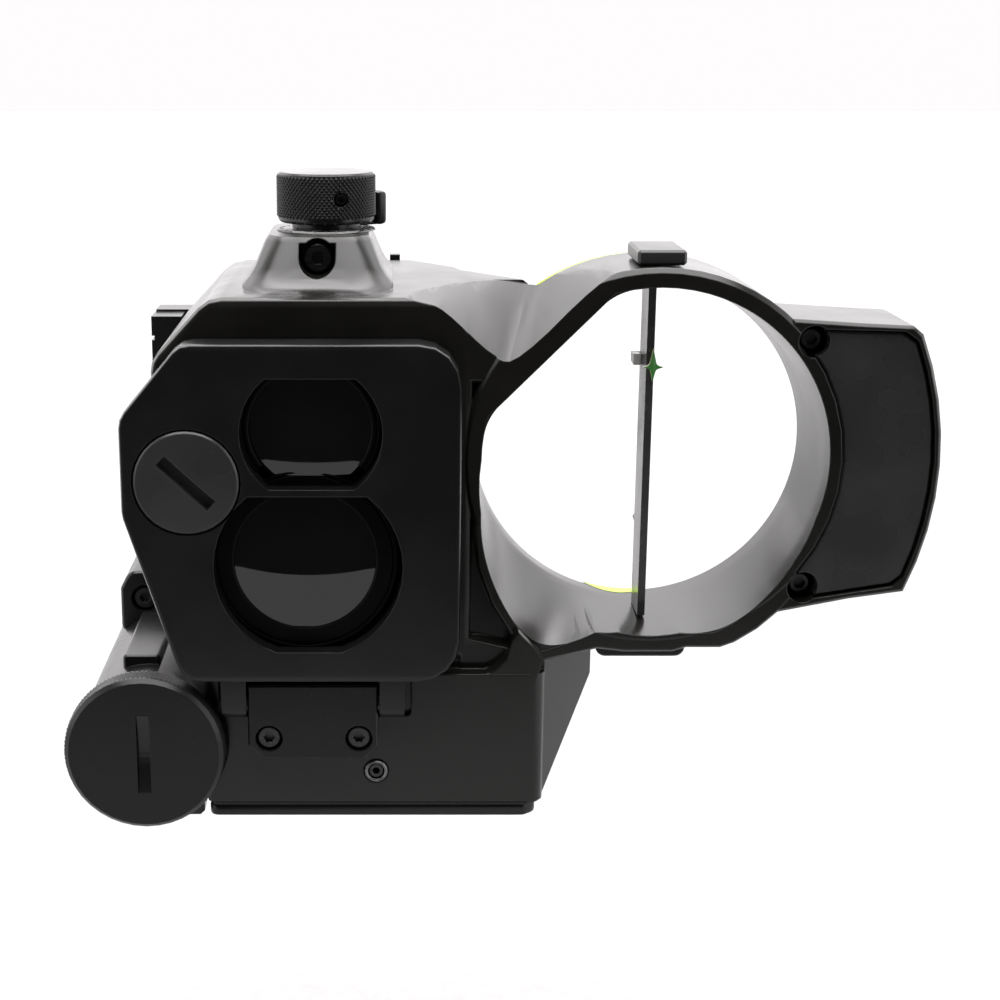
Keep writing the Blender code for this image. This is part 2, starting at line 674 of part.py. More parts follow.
def make_rear_cover():
    """The cover on the archer's side, slotted for the elevation nut, with a screen window and its screws."""
    front = BODY_BACK + SEAM
    outline = rounded([
        (BODY_LEFT, -9.0, 3), (-70.6, BODY_BOTTOM, 3), (COVER_RIGHT, BODY_BOTTOM, 3),
        (COVER_RIGHT, 24.6, 2), (-69.0, 24.6, 5), (BODY_LEFT, 15.0, 4),
    ])
    cover = plate("rear_cover", outline, front, COVER_BACK, "Y", BLACK_PLASTIC, edge=0.8, rounding=1)
    slot = plate("rear_cover_slot", stadium(-56.4, -46.6, -8.8, 32, 1.5), 40, 60)
    window = plate("rear_cover_window", stadium(-59.6, -43.4, -27.6, -12.4, 1.2), 40, 51.6)
    view = plate("rear_cover_view", stadium(-58.4, -44.6, -26.4, -13.6, 1.0), 50, 60)
    cut(cover, slot, window, view, solver="MANIFOLD")
    tongue = box("rear_cover_tongue", (-41.2, 50.0, 22.0), (COVER_RIGHT, 52.0, 25.9))
    join(cover, tongue)
    jack = rod("rear_cover_jack", (-73.6, 0, 9.0), "Y", 40, 60, 2.2, steps=18)
    cut(cover, jack, solver="MANIFOLD")
    for name, level in BUTTONS:
        cut(cover, rod(f"{name}_hole", (BUTTON_X, 0, level), "Y", 40, 60, 2.9, steps=18), solver="MANIFOLD")
    for number, (x, z) in enumerate(COVER_SCREWS):
        at = (x, COVER_BACK - 0.4, z)
        cut(cover, rod(f"cover_screw_seat_{number}", at, "Y", -3.2, 1, 2.2, steps=16), solver="MANIFOLD")
        cut(cover, rod(f"cover_screw_hole_{number}", at, "Y", -8, 1, 1.3, steps=16), solver="MANIFOLD")
        piece = turned(
            f"rear_cover_screw_{number + 1}", at, "Y",
            [(0, 0), (1.7, 0), (1.9, -0.2), (1.9, -2.8), (1.0, -2.8), (1.0, -9.0), (0, -9.0)],
            DARK_STEEL, steps=16,
        )
        cut(piece, rod(f"cover_screw_socket_{number}", at, "Y", -1.6, 1, 0.95, steps=6))

    plate("display_window", stadium(-59.3, -43.7, -27.3, -12.7, 1.0), 50.2, 51.3, "Y", CLEAR_GLASS)
    plate("display_panel", stadium(-59.2, -43.8, -27.2, -12.8, 0.6), 48.3, 49.8, "Y", SCREEN_GREY)
    board = plate("main_board", stadium(-69.5, -43.0, -28.8, -9.4, 0.8), 43.0, 44.6, "Y", BOARD_GREEN)
    chip = box("main_board_chip", (-58, 41.6, -24), (-48, 43.4, -14))
    header = box("main_board_header", (-68, 41.0, -27), (-65, 43.4, -17))
    join(board, chip, header)
    turned(
        "trigger_jack", (-73.6, 0, 9.0), "Y",
        [(1.9, 54.6), (1.9, 49.0), (1.0, 49.0), (1.0, 54.6)], BRASS, steps=18, closed=True,
    )


def make_buttons():
    """Three rubber push buttons, each on the front-to-back line that it is pressed along."""
    for name, level in BUTTONS:
        turned(
            name, (BUTTON_X, COVER_BACK, level), "Y",
            [(0, 1.4), (2.1, 1.4), (2.6, 0.9), (2.6, -4.8), (0, -4.8)], BLACK_RUBBER, steps=18,
        )


def make_bottom():
    """The plate under the chin and the rubber gasket between them."""
    outline = [(-70.4, -2.2), (-19.6, -2.2), (-17.6, -0.6), (-18.4, 16), (-31.5, 40), (-57, 41), (-64.8, 30),
               (-65.6, 4), (-70.4, 3.2)]
    gasket = plate("bottom_gasket", rounded([(x + 0.5, y - 0.2, 0.8) for x, y in outline]),
                   CHIN_BOTTOM - 0.6, CHIN_BOTTOM - SEAM, "Z", BLACK_RUBBER)
    base = plate("bottom_plate", rounded([(x, y, 1.5) for x, y in outline]),
                 CHIN_BOTTOM - 2.7, CHIN_BOTTOM - 0.6 - SEAM, "Z", BLACK_PLASTIC, edge=0.5, rounding=1)
    tube = rod("bottom_tube_clear", (TUBE_X, 0, TUBE_Z), "Y", -12, 60, CAP_R + GAP, steps=36)
    cut(gasket, tube)
    cut(base, tube)


def torx(name, at, depth, radius):
    """A six-lobed socket, as a rod with six shallow flutes."""
    points = []
    for step in range(12):
        angle = 2 * math.pi * step / 12
        reach = radius * (1 + 0.14 * math.cos(6 * angle))
        points.append((at[0] + reach * math.cos(angle), at[2] + reach * math.sin(angle)))
    return plate(name, points, at[1] - 0.5, at[1] + depth)


def make_hinge():
    """The clamp plate and pin that the laser module tips on, and the screw that sets its tilt."""
    outline = [(-63.6, -34.8), (-63.6, -44.9), (-61.2, -47.2), (-45.2, -47.2), (-43.1, -45.1), (-43.1, -34.8)]
    back = CHIN_FRONT - SEAM
    clamp = plate("hinge_plate", outline, -5.9, back, "Y", BLACK_ANODISED, edge=0.3)
    cut(clamp, rod("hinge_pin_bore", (0, PIVOT_Y, PIVOT_Z), "X", -70, -30, PIVOT_PIN_R + 0.15, steps=18))
    for name, x in (("hinge_screw_left", -60.3), ("hinge_screw_right", -46.1)):
        at = (x, -5.4, -43.7)
        cut(clamp, rod(f"{name}_seat", at, "Y", -2, 1.7, 2.2, steps=18))
        cut(clamp, rod(f"{name}_hole", at, "Y", -2, 5, 1.3, steps=16))
        piece = turned(
            name, at, "Y",
            [(0, 6.5), (1.0, 6.5), (1.0, 1.4), (1.85, 1.4), (1.85, 0.2), (1.65, 0), (0, 0)],
            DARK_STEEL, steps=18,
        )
        cut(piece, torx(f"{name}_socket", at, 0.9, 0.85))
    rod("pivot_pin", (0, PIVOT_Y, PIVOT_Z), "X", -67.3, -38.9, PIVOT_PIN_R, STEEL, steps=18)

    at = (-43.4, -2.9, -50.6)
    turned("adjust_screw_ring", at, "Y", [(1.85, 1.6), (1.85, 0.1), (1.65, -0.1), (1.35, 0.1), (1.35, 1.6)],
           STEEL, steps=16, closed=True)
    piece = turned("adjust_screw", at, "Y", [(0, 9.0), (0.6, 9.0), (1.1, 8.3), (1.1, 0.35), (0, 0.35)],
                   DARK_STEEL, steps=18)
    cut(piece, rod("adjust_screw_socket", at, "Y", -1, 2.2, 0.62, steps=6))


# ---------------------------------------------------------------- laser module

def make_laser_module():
    """The tilting module: front bezel with its two windows, the optics block behind it, and both lenses."""
    bezel = plate(
        "laser_bezel", bezel_outline(), BEZEL_FRONT, BEZEL_BACK, "Y", BLACK_PLASTIC, edge=0.7, rounding=1,
    )
    upper = plate("bezel_upper_window", window_outline(UPPER_WINDOW, -2.6, 14.4), -12, 2)
    lower = plate("bezel_lower_window", window_outline(LOWER_WINDOW, -28.6, -3.7), -12, 2)
    seat = rod("bezel_plug_seat", (PLUG[0], 0, PLUG[1]), "Y", -10, -4.8, PLUG[2] + GAP)
    port = rod("bezel_port", (PLUG[0], 0, PLUG[1]), "Y", -10, 1, 4.4, steps=16)
    for number, low in enumerate((-67.7, -42.8)):
        ear = hull(
            f"bezel_ear_{number}",
            [(x, PIVOT_Y + 1.9 * math.cos(math.radians(turn)), PIVOT_Z + 1.9 * math.sin(math.radians(turn)))
             for x in (low, low + 3.9) for turn in range(150, 391, 30)]
            + [(x, y, -31.0) for x in (low, low + 3.9) for y in (PIVOT_Y - 1.9, BEZEL_BACK - 0.3)],
        )
        join(bezel, ear)
    pin = rod("bezel_pin_bore", (0, PIVOT_Y, PIVOT_Z), "X", -70, -30, PIVOT_PIN_R + 0.15, steps=18)
    cut(bezel, upper, lower, seat, port, pin)

    front = BEZEL_BACK + SEAM
    block = plate("laser_body", stadium(-73.4, -38.0, -30.2, 15.2, 2), front, LASER_DEPTH, "Y", BLACK_PLASTIC)
    for name, (x, z, _) in (("upper", UPPER_WINDOW), ("lower", LOWER_WINDOW)):
        cut(block, rod(f"laser_body_{name}_bore", (x, 0, z), "Y", 1.4, 15.0, 6.3, steps=24))
    for name, window, low, high in (
        ("emitter_lens", UPPER_WINDOW, WINDOW_SPLIT + 0.3, 15.0),
        ("receiver_lens", LOWER_WINDOW, -29.6, WINDOW_SPLIT - 0.3),
    ):
        seat = plate(f"{name}_seat", window_outline(window, low - 0.2, high + 0.2, 0.5), front - 1, 1.6)
        cut(block, seat)
        lens = turned(
            name, (window[0], 0, window[1]), "Y",
            [(0, 1.3), (window[2] + 0.2, 1.3), (window[2] + 0.2, -0.6), (window[2] * 0.7, -1.15),
             (window[2] * 0.35, -1.45), (0, -1.55)],
            COATED_GLASS,
        )
        trim = box(f"{name}_trim", (-75, -4, high), (-30, 4, high + 20))
        trim_low = box(f"{name}_trim_low", (-75, -4, low - 20), (-30, 4, low))
        cut(lens, trim, trim_low)

    rod("laser_diode", (-53.1, 0, 6.0), "Y", 8.0, 14.9, 4.5, BRASS, steps=16, edge=0.4)

    pivot = bpy.data.objects.new("laser_pivot", None)
    pivot.location = metres((0, PIVOT_Y, PIVOT_Z))
    pivot.parent = sight_frame
    PARTS.objects.link(pivot)
    for name in ("laser_bezel", "laser_body", "emitter_lens", "receiver_lens", "laser_diode"):
        piece = bpy.data.objects[name]
        piece.parent = pivot
        piece.location -= pivot.location


def make_access_plug():
    """The slotted plug in the bezel, and the sealing ring that rises with it."""
    x, z, radius = PLUG
    plug = turned(
        "access_plug", (x, 0, z), "Y",
        [(0, -2.4), (3.2, -2.4), (3.2, -5.5), (radius, -5.5), (radius, -8.0), (radius - 0.3, -8.3),
         (0, -8.6)],
        BLACK_PLASTIC, steps=36,
    )
    slot = box("plug_slot", (-5.2, -9.5, -1.0), (5.2, -7.0, 1.0))
    slot.location = metres((x, -8.25, z))
    slot.rotation_euler = (0, math.radians(43), 0)
    cut(plug, slot)
    turned("plug_seal", (x, 0, z), "Y", ring_profile(3.85, 0.32, -5.1), BLACK_RUBBER, steps=16, closed=True)


def ring_profile(radius, thickness, along):
    """The round section of a ring, running down its outside."""
    points = []
    for step in range(6):
        angle = math.radians(90 - 60 * step)
        points.append((radius + thickness * math.cos(angle), along + thickness * math.sin(angle)))
    return points


# ---------------------------------------------------------------- battery

def make_battery():
    """The tube with its fixing lug, the cell, its spring, and the cap with its sealing ring."""
    at = (TUBE_X, 0, TUBE_Z)
    tube = turned(
        "battery_tube", at, "Y",
        [(0, TUBE_BACK), (TUBE_R - 2, TUBE_BACK), (TUBE_R, TUBE_BACK - 2), (TUBE_R, TUBE_FRONT),
         (10.3, TUBE_FRONT), (10.3, 2.4), (9.0, 2.4), (9.0, TUBE_BACK - 2.4), (0, TUBE_BACK - 2.4)],
        BLACK_ANODISED, steps=36,
    )
    lug = plate(
        "tube_lug",
        rounded([(-88.2, -37.4, 1), (-78.6, -37.4, 0), (-78.6, -26.4, 1.5), (-86.6, -26.4, 2.4),
                 (-88.2, -29.5, 1)]),
        27.5, 42.0, edge=0.4,
    )
    corner = plate(
        "tube_corner",
        [(-77.5, -56.0), (-77.5, -58.6), (-71.9, -58.6), (-71.2, -57.9), (-71.2, -51.8), (-73.0, -53.8)],
        TUBE_FRONT + 0.2, 9.0,
    )
    saddle = plate(
        "tube_saddle",
        rounded([(-84.2, -37, 0), (-78.2, -37, 0), (-78.2, -32.7, 0.6), (-84.2, -32.7, 0.6)]),
        2.3, 40.0, edge=0.3,
    )
    join(tube, lug, corner, saddle)
    cut(tube, rod("tube_lug_hole", (-84.0, 0, -31.4), "Y", 24, 44, 1.5, steps=16))
    cut(tube, rod("tube_lug_seat", (-84.0, 0, -31.4), "Y", 24, 29.5, 2.4, steps=18))
    cut(tube, rod("tube_bore", at, "Y", -4, TUBE_BACK - 2.4, 9.0, steps=36))
    screw("tube_screw", (-84.0, 28.0, -31.4), "Y", (2.0, 1.4), (1.15, 9.0), DARK_STEEL)

    low = 3.0
    high = low + CELL_LENGTH
    turned(
        "battery_cell", at, "Y",
        [(0, high), (CELL_R - 0.4, high), (CELL_R, high - 0.5), (CELL_R, low + 1.4),
         (CELL_R - 0.5, low + 0.9), (3.2, low + 0.9), (3.2, low), (0, low)],
        CELL_WRAP, steps=36,
    )
    make_spring("contact_spring", at, high + 0.5, TUBE_BACK - 2.8, 5.0, 0.35, 3)
    turned(
        "battery_cap", at, "Y",
        [(0, 2.0), (9.6, 2.0), (9.9, 1.7), (9.9, -3.6), (CAP_R - 0.5, -3.6), (CAP_R, -4.1),
         (CAP_R, -7.4), (CAP_R - 0.7, -8.1), (0, -8.1)],
        BLACK_ANODISED, steps=40,
    )
    cut(bpy.data.objects["battery_cap"], box(
        "cap_slot", (TUBE_X - 1.05, -9.5, TUBE_Z - 6.6), (TUBE_X + 1.05, -6.9, TUBE_Z + 6.6)))
    turned("cap_seal", at, "Y", ring_profile(10.75, 0.5, -2.75), BLACK_RUBBER, steps=16, closed=True)


def make_spring(name, at, low, high, radius, wire, turns):
    """A coil along Y, as a wire on a helix with flat ends."""
    curve = bpy.data.curves.new(name, "CURVE")
    curve.dimensions = "3D"
    curve.bevel_depth = wire * MM
    curve.bevel_resolution = 0
    curve.use_fill_caps = True
    spline = curve.splines.new("POLY")
    per_turn = 12
    spline.points.add(per_turn * turns)
    for index, point in enumerate(spline.points):
        angle = 2 * math.pi * index / per_turn
        along = low + wire + (high - low - 2 * wire) * index / (per_turn * turns)
        point.co = (radius * math.cos(angle) * MM, along * MM, radius * math.sin(angle) * MM, 1)
    piece = bpy.data.objects.new(name, curve)
    piece.location = metres(at)
    piece.parent = sight_frame
    curve.materials.append(STEEL)
    PARTS.objects.link(piece)


# ---------------------------------------------------------------- turret

def make_turret():
    """The knurled elevation knob with its lead screw, its scale ring, its lock and both locking screws."""
    at = (KNOB_X, KNOB_Y, 0)
    turned(
        "scale_ring", at, "Z",
        [(7.9, BOSS_TOP + 0.3), (8.1, BOSS_TOP + SEAM), (2.6, BOSS_TOP + SEAM), (2.6, BOSS_TOP + 0.3)],
        BLACK_ANODISED, closed=True,
    )
    knob = turned(
        "elevation_knob", at, "Z",
        [(0, KNOB_HIGH - 0.6), (5.4, KNOB_HIGH - 0.6), (5.6, KNOB_HIGH), (KNOB_R - 0.3, KNOB_HIGH),
         (KNOB_R, KNOB_HIGH - 0.3), (KNOB_R, KNOB_LOW + 0.4), (KNOB_R - 0.4, KNOB_LOW), (0, KNOB_LOW)],
        BLACK_ANODISED, steps=36,
    )
    way = rod("knob_screw_way", at, "Z", KNOB_LOW - 1, KNOB_LOW + 6.2, LEAD_SCREW_R + 0.2, steps=16)
    grub_x = KNOB_X + 2.6
    grub = rod("knob_grub_way", (grub_x, 0, 38.6), "Y", KNOB_Y - 9, KNOB_Y - 2, 1.15, steps=18)
    cut(knob, way, grub)
    grub_at = (grub_x, KNOB_Y, 38.6)
    piece = rod("knob_set_screw", grub_at, "Y", -6.2, -2.2, 0.95, DARK_STEEL, steps=16)
    cut(piece, rod("knob_set_screw_socket", grub_at, "Y", -7, -4.8, 0.5, steps=6))
    rod("elevation_screw", at, "Z", -7.0, KNOB_LOW + 5.8, LEAD_SCREW_R, STEEL, steps=16, edge=0.4)

    lever = turned(
        "lock_lever", at, "Z",
        [(5.6, KNOB_LOW - 0.12), (5.6, BOSS_TOP + 0.5), (5.0, BOSS_TOP + 0.5), (5.0, KNOB_LOW - 0.12)],
        BLACK_ANODISED, closed=True,
    )
    tab = box("lock_lever_tab", (8.15, -2.6, BOSS_TOP + 0.5), (10.2, 2.6, 39.2))
    bevel(tab, 0.7, 2)
    foot = box("lock_lever_foot", (5.3, -1.6, BOSS_TOP + 0.5), (9.4, 1.6, KNOB_LOW - 0.12))
    for piece in (tab, foot):
        middle = Vector(piece.location)
        spin = Matrix.Rotation(math.radians(32), 4, "Z")
        piece.location = spin @ middle + metres(at)
        piece.rotation_euler = (0, 0, math.radians(32))
    join(lever, foot, tab)

    screw("turret_lock_screw", (-52.6, 12.8, 29.9), "Y", (2.3, 2.2), (1.2, 1.4), DARK_STEEL, drive=1.1)


# ---------------------------------------------------------------- ring fittings

def make_ring_fittings():
    """The green rear rim, the bubble level, the accessory block and the sight post with its lights."""
    turned(
        "ring_insert", (RING_REAR_X, 0, RING_REAR_Z), "Y",
        [(RING_BORE + 1.0, RING_DEPTH - 0.1), (RING_BORE + 1.0, RING_DEPTH - 3.2),
         (RING_BORE + 0.1, RING_DEPTH - 3.2), (RING_BORE + 0.1, RING_DEPTH - 0.1)],
        FLUORESCENT, steps=64, closed=True,
    )

    box("accessory_block", (-3.5, 2.1, RING_OUTER + SEAM), (4.0, 14.5, 32.4), BLACK_ANODISED, edge=0.4)

    holder = plate("level_housing", stadium(-7.3, 7.4, -35.4, -31.3 - GAP, 1.6), 9.0, RING_DEPTH, "Y",
                   BLACK_PLASTIC, edge=0.3)
    vial_at = (0, 18.8, -33.5)
    cut(holder, rod("level_bed", vial_at, "X", -6.2, 6.2, 1.35, steps=18))
    cut(holder, box("level_view", (-5.0, 18.8, -34.5), (5.0, 24.0, -32.5)))
    rod("level_vial", vial_at, "X", -5.9, 5.9, 1.05, CLEAR_GLASS, steps=16, edge=0.3)

    half = POST_THICK / 2
    box("pin_post", (POST_X - half, POST_FRONT, -27.7), (POST_X + half, POST_BACK, 28.1), POST_GREY)
    box("led_strip", (POST_X - 0.5, POST_BACK + SEAM, -25.6), (POST_X + 0.5, POST_BACK + 0.7, 25.2),
        BLACK_PLASTIC)
    box("post_foot", (POST_X - 1.1, 7.2, -29.3), (POST_X + 3.6, 17.2, -28.1), BLACK_ANODISED, edge=0.2)

    level = 13.6
    front = POST_FRONT - 0.5
    points = [(POST_X + 0.3 + u, y, level + w) for y in (front - 0.9, front - 0.1)
              for u, w in ((0, 2.7), (0.5, 0.5), (0, -2.7), (-0.5, -0.5), (0.5, -0.5), (-0.5, 0.5))]
    pin = hull("sight_pin", points, PIN_GREEN)
    points = [(POST_X + 0.3 + u, y, level + w) for y in (front - 0.9, front - 0.1)
              for u, w in ((1.5, 0), (0.5, 0.5), (-1.5, 0), (-0.5, -0.5), (0.5, -0.5), (-0.5, 0.5))]
    join(pin, hull("sight_pin_arms", points))
    outer = half + 1.2
    inside = half + GAP
    back = POST_BACK + 1.9
    low = level - 1.2
    high = level + 2.4
    clip = box("pin_clip", (POST_X - outer, front + 0.05, low), (POST_X + outer, back, high), POST_GREY)
    slot = box(
        "pin_clip_slot", (POST_X - inside, front + 0.25, low - 1), (POST_X + inside, back - 0.7, high + 1),
    )
    side = box(
        "pin_clip_side", (POST_X + inside - 0.1, front + 1.5, low - 1), (POST_X + 3, back + 1, high + 1),
    )
    cut(clip, slot, side)


# ---------------------------------------------------------------- arm

def make_arm():
    """The arm's cover plate, its two screws, the board behind it and the shell on its back."""
    cover = plate("arm_cover", arm_panel_outline(GAP), 0.4, 2.9, "Y", BLACK_PLASTIC, edge=0.35)
    for number, (x, z) in enumerate(ARM_SCREWS):
        name = ("arm_screw_upper", "arm_screw_lower")[number]
        cut(cover, rod(f"{name}_notch", (x, 0, z), "Y", -1, 6, 2.5, steps=18))
        screw(name, (x, 2.6, z), "Y", (1.7, 1.6), (1.0, 1.4), DARK_STEEL)
    plate("arm_board", arc((0, 0), 32.3, 33, -33, 8) + arm_edge(4.4, -16.5, 16.0), 7.5, 8.9, "Y", BOARD_GREEN)
    plate(
        "arm_rear_shell",
        [(31.2, 20.0), (30.6, 12.0), (30.6, -10.0), (25.9, -20.5), (24.6, -26.0), (26.6, -28.4),
         (35.5, -26.6)]
        + arm_edge(0.8, -20.0, 18.6),
        ARM_DEPTH + SEAM, 21.5, "Y", BLACK_PLASTIC, edge=0.8, rounding=1,
    )


make_casting()
make_riser_mount()
make_windage_screw()
make_carriage()
make_rear_cover()
make_buttons()
make_bottom()
make_hinge()
make_laser_module()
make_access_plug()
make_battery()
make_turret()
make_ring_fittings()
make_arm()
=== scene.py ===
"""Looks for the laser-ranging bow sight: a finish for every CAD node, and finer pieces where CAD is plain.

The row's frame is the CAD's: origin in the middle of the riser mounting face, -Y down-range, +Z up.
Lengths are written in millimetres and turned into metres where a mesh is made.
"""

import math

import bmesh
import bpy
import numpy as np
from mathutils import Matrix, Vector


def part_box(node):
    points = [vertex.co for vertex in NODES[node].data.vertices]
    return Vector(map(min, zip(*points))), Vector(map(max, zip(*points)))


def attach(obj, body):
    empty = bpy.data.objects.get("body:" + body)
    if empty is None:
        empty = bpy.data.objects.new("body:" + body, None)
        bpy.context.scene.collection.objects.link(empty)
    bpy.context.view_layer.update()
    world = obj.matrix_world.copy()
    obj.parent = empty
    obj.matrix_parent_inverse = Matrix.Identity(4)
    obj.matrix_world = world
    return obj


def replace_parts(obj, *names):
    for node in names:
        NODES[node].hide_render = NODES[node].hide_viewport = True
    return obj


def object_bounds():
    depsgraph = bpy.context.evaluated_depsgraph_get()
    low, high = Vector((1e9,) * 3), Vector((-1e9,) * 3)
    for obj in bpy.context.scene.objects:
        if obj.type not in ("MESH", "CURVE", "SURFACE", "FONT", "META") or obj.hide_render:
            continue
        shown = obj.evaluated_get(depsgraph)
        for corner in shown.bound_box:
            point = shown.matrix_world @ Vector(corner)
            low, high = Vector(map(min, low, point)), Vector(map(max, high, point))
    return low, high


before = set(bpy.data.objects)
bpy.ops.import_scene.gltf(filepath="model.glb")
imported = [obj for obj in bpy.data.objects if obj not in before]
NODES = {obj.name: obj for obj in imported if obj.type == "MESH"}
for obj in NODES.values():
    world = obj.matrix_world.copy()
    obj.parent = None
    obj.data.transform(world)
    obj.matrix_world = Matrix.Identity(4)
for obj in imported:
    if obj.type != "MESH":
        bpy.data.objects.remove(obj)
CAD_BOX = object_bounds()

MM = 0.001


def corners(node):
    """A CAD node's box, in millimetres."""
    low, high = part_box(node)
    return low / MM, high / MM


def middle(node):
    """The middle of a CAD node's box, in millimetres."""
    low, high = corners(node)
    return (low + high) / 2


# ---------------------------------------------------------------- materials

class Finish:
    """A small helper that builds one node material."""

    def __init__(self, name):
        self.material = bpy.data.materials.new(name)
        self.material.use_nodes = True
        self.tree = self.material.node_tree
        self.shader = self.tree.nodes["Principled BSDF"]
        self.place = self.node("ShaderNodeTexCoord").outputs["Object"]

    def node(self, kind, **values):
        made = self.tree.nodes.new(kind)
        for key, value in values.items():
            setattr(made, key, value)
        return made

    def link(self, source, target):
        self.tree.links.new(source, target)

    def set(self, **values):
        for key, value in values.items():
            self.shader.inputs[key.replace("_", " ")].default_value = value
        return self

    def noise(self, grain, detail=2.0, roughness=0.5, stretch=None):
        """Noise whose features are about grain millimetres across."""
        noise = self.node("ShaderNodeTexNoise")
        noise.inputs["Scale"].default_value = 1.0 / (grain * MM)
        noise.inputs["Detail"].default_value = detail
        noise.inputs["Roughness"].default_value = roughness
        source = self.place
        if stretch:
            mapping = self.node("ShaderNodeMapping")
            mapping.inputs["Scale"].default_value = stretch
            self.link(self.place, mapping.inputs["Vector"])
            source = mapping.outputs["Vector"]
        self.link(source, noise.inputs["Vector"])
        return noise.outputs["Fac"]

    def spread(self, source, low, high, start=0.3, end=0.7):
        """A number that runs from low to high as source runs from start to end."""
        ramp = self.node("ShaderNodeMapRange")
        ramp.inputs["From Min"].default_value = start
        ramp.inputs["From Max"].default_value = end
        ramp.inputs["To Min"].default_value = low
        ramp.inputs["To Max"].default_value = high
        self.link(source, ramp.inputs["Value"])
        return ramp.outputs["Result"]

    def colour(self, source, dark, light, start=0.3, end=0.7):
        ramp = self.node("ShaderNodeValToRGB")
        ramp.color_ramp.elements[0].position = start
        ramp.color_ramp.elements[0].color = (*dark, 1)
        ramp.color_ramp.elements[1].position = end
        ramp.color_ramp.elements[1].color = (*light, 1)
        self.link(source, ramp.inputs["Fac"])
        self.link(ramp.outputs["Color"], self.shader.inputs["Base Color"])
        return self

    def rough(self, source, low, high):
        self.link(self.spread(source, low, high), self.shader.inputs["Roughness"])
        return self

    def relief(self, source, height, edge=0.0):
        """Bump of that height in millimetres, over edges rounded to a radius of edge millimetres."""
        bump = self.node("ShaderNodeBump")
        bump.inputs["Distance"].default_value = height * MM
        self.link(source, bump.inputs["Height"])
        if edge:
            bevel = self.node("ShaderNodeBevel", samples=6)
            bevel.inputs["Radius"].default_value = edge * MM
            self.link(bevel.outputs["Normal"], bump.inputs["Normal"])
        self.link(bump.outputs["Normal"], self.shader.inputs["Normal"])
        return self


def coated(name, dark, light, rough, grain, height, edge=0.25, ior=1.4, patch=9.0):
    """Black paint, anodising or moulded plastic: a fine grain, and slow changes of tone and gloss."""
    made = Finish(name).set(IOR=ior)
    fine = made.noise(grain, 3.0, 0.6)
    slow = made.noise(patch, 2.0)
    made.colour(slow, dark, light)
    made.rough(slow, rough[0], rough[1])
    made.relief(fine, height, edge)
    return made.material


def metal(name, dark, light, rough, edge=0.12, stretch=(1, 1, 12)):
    """Bare or oxidised metal, with turning marks."""
    made = Finish(name).set(Metallic=1.0)
    marks = made.noise(1.5, 3.0, 0.6, stretch)
    made.colour(marks, dark, light)
    made.rough(marks, rough[0], rough[1])
    made.relief(marks, 0.01, edge)
    return made.material


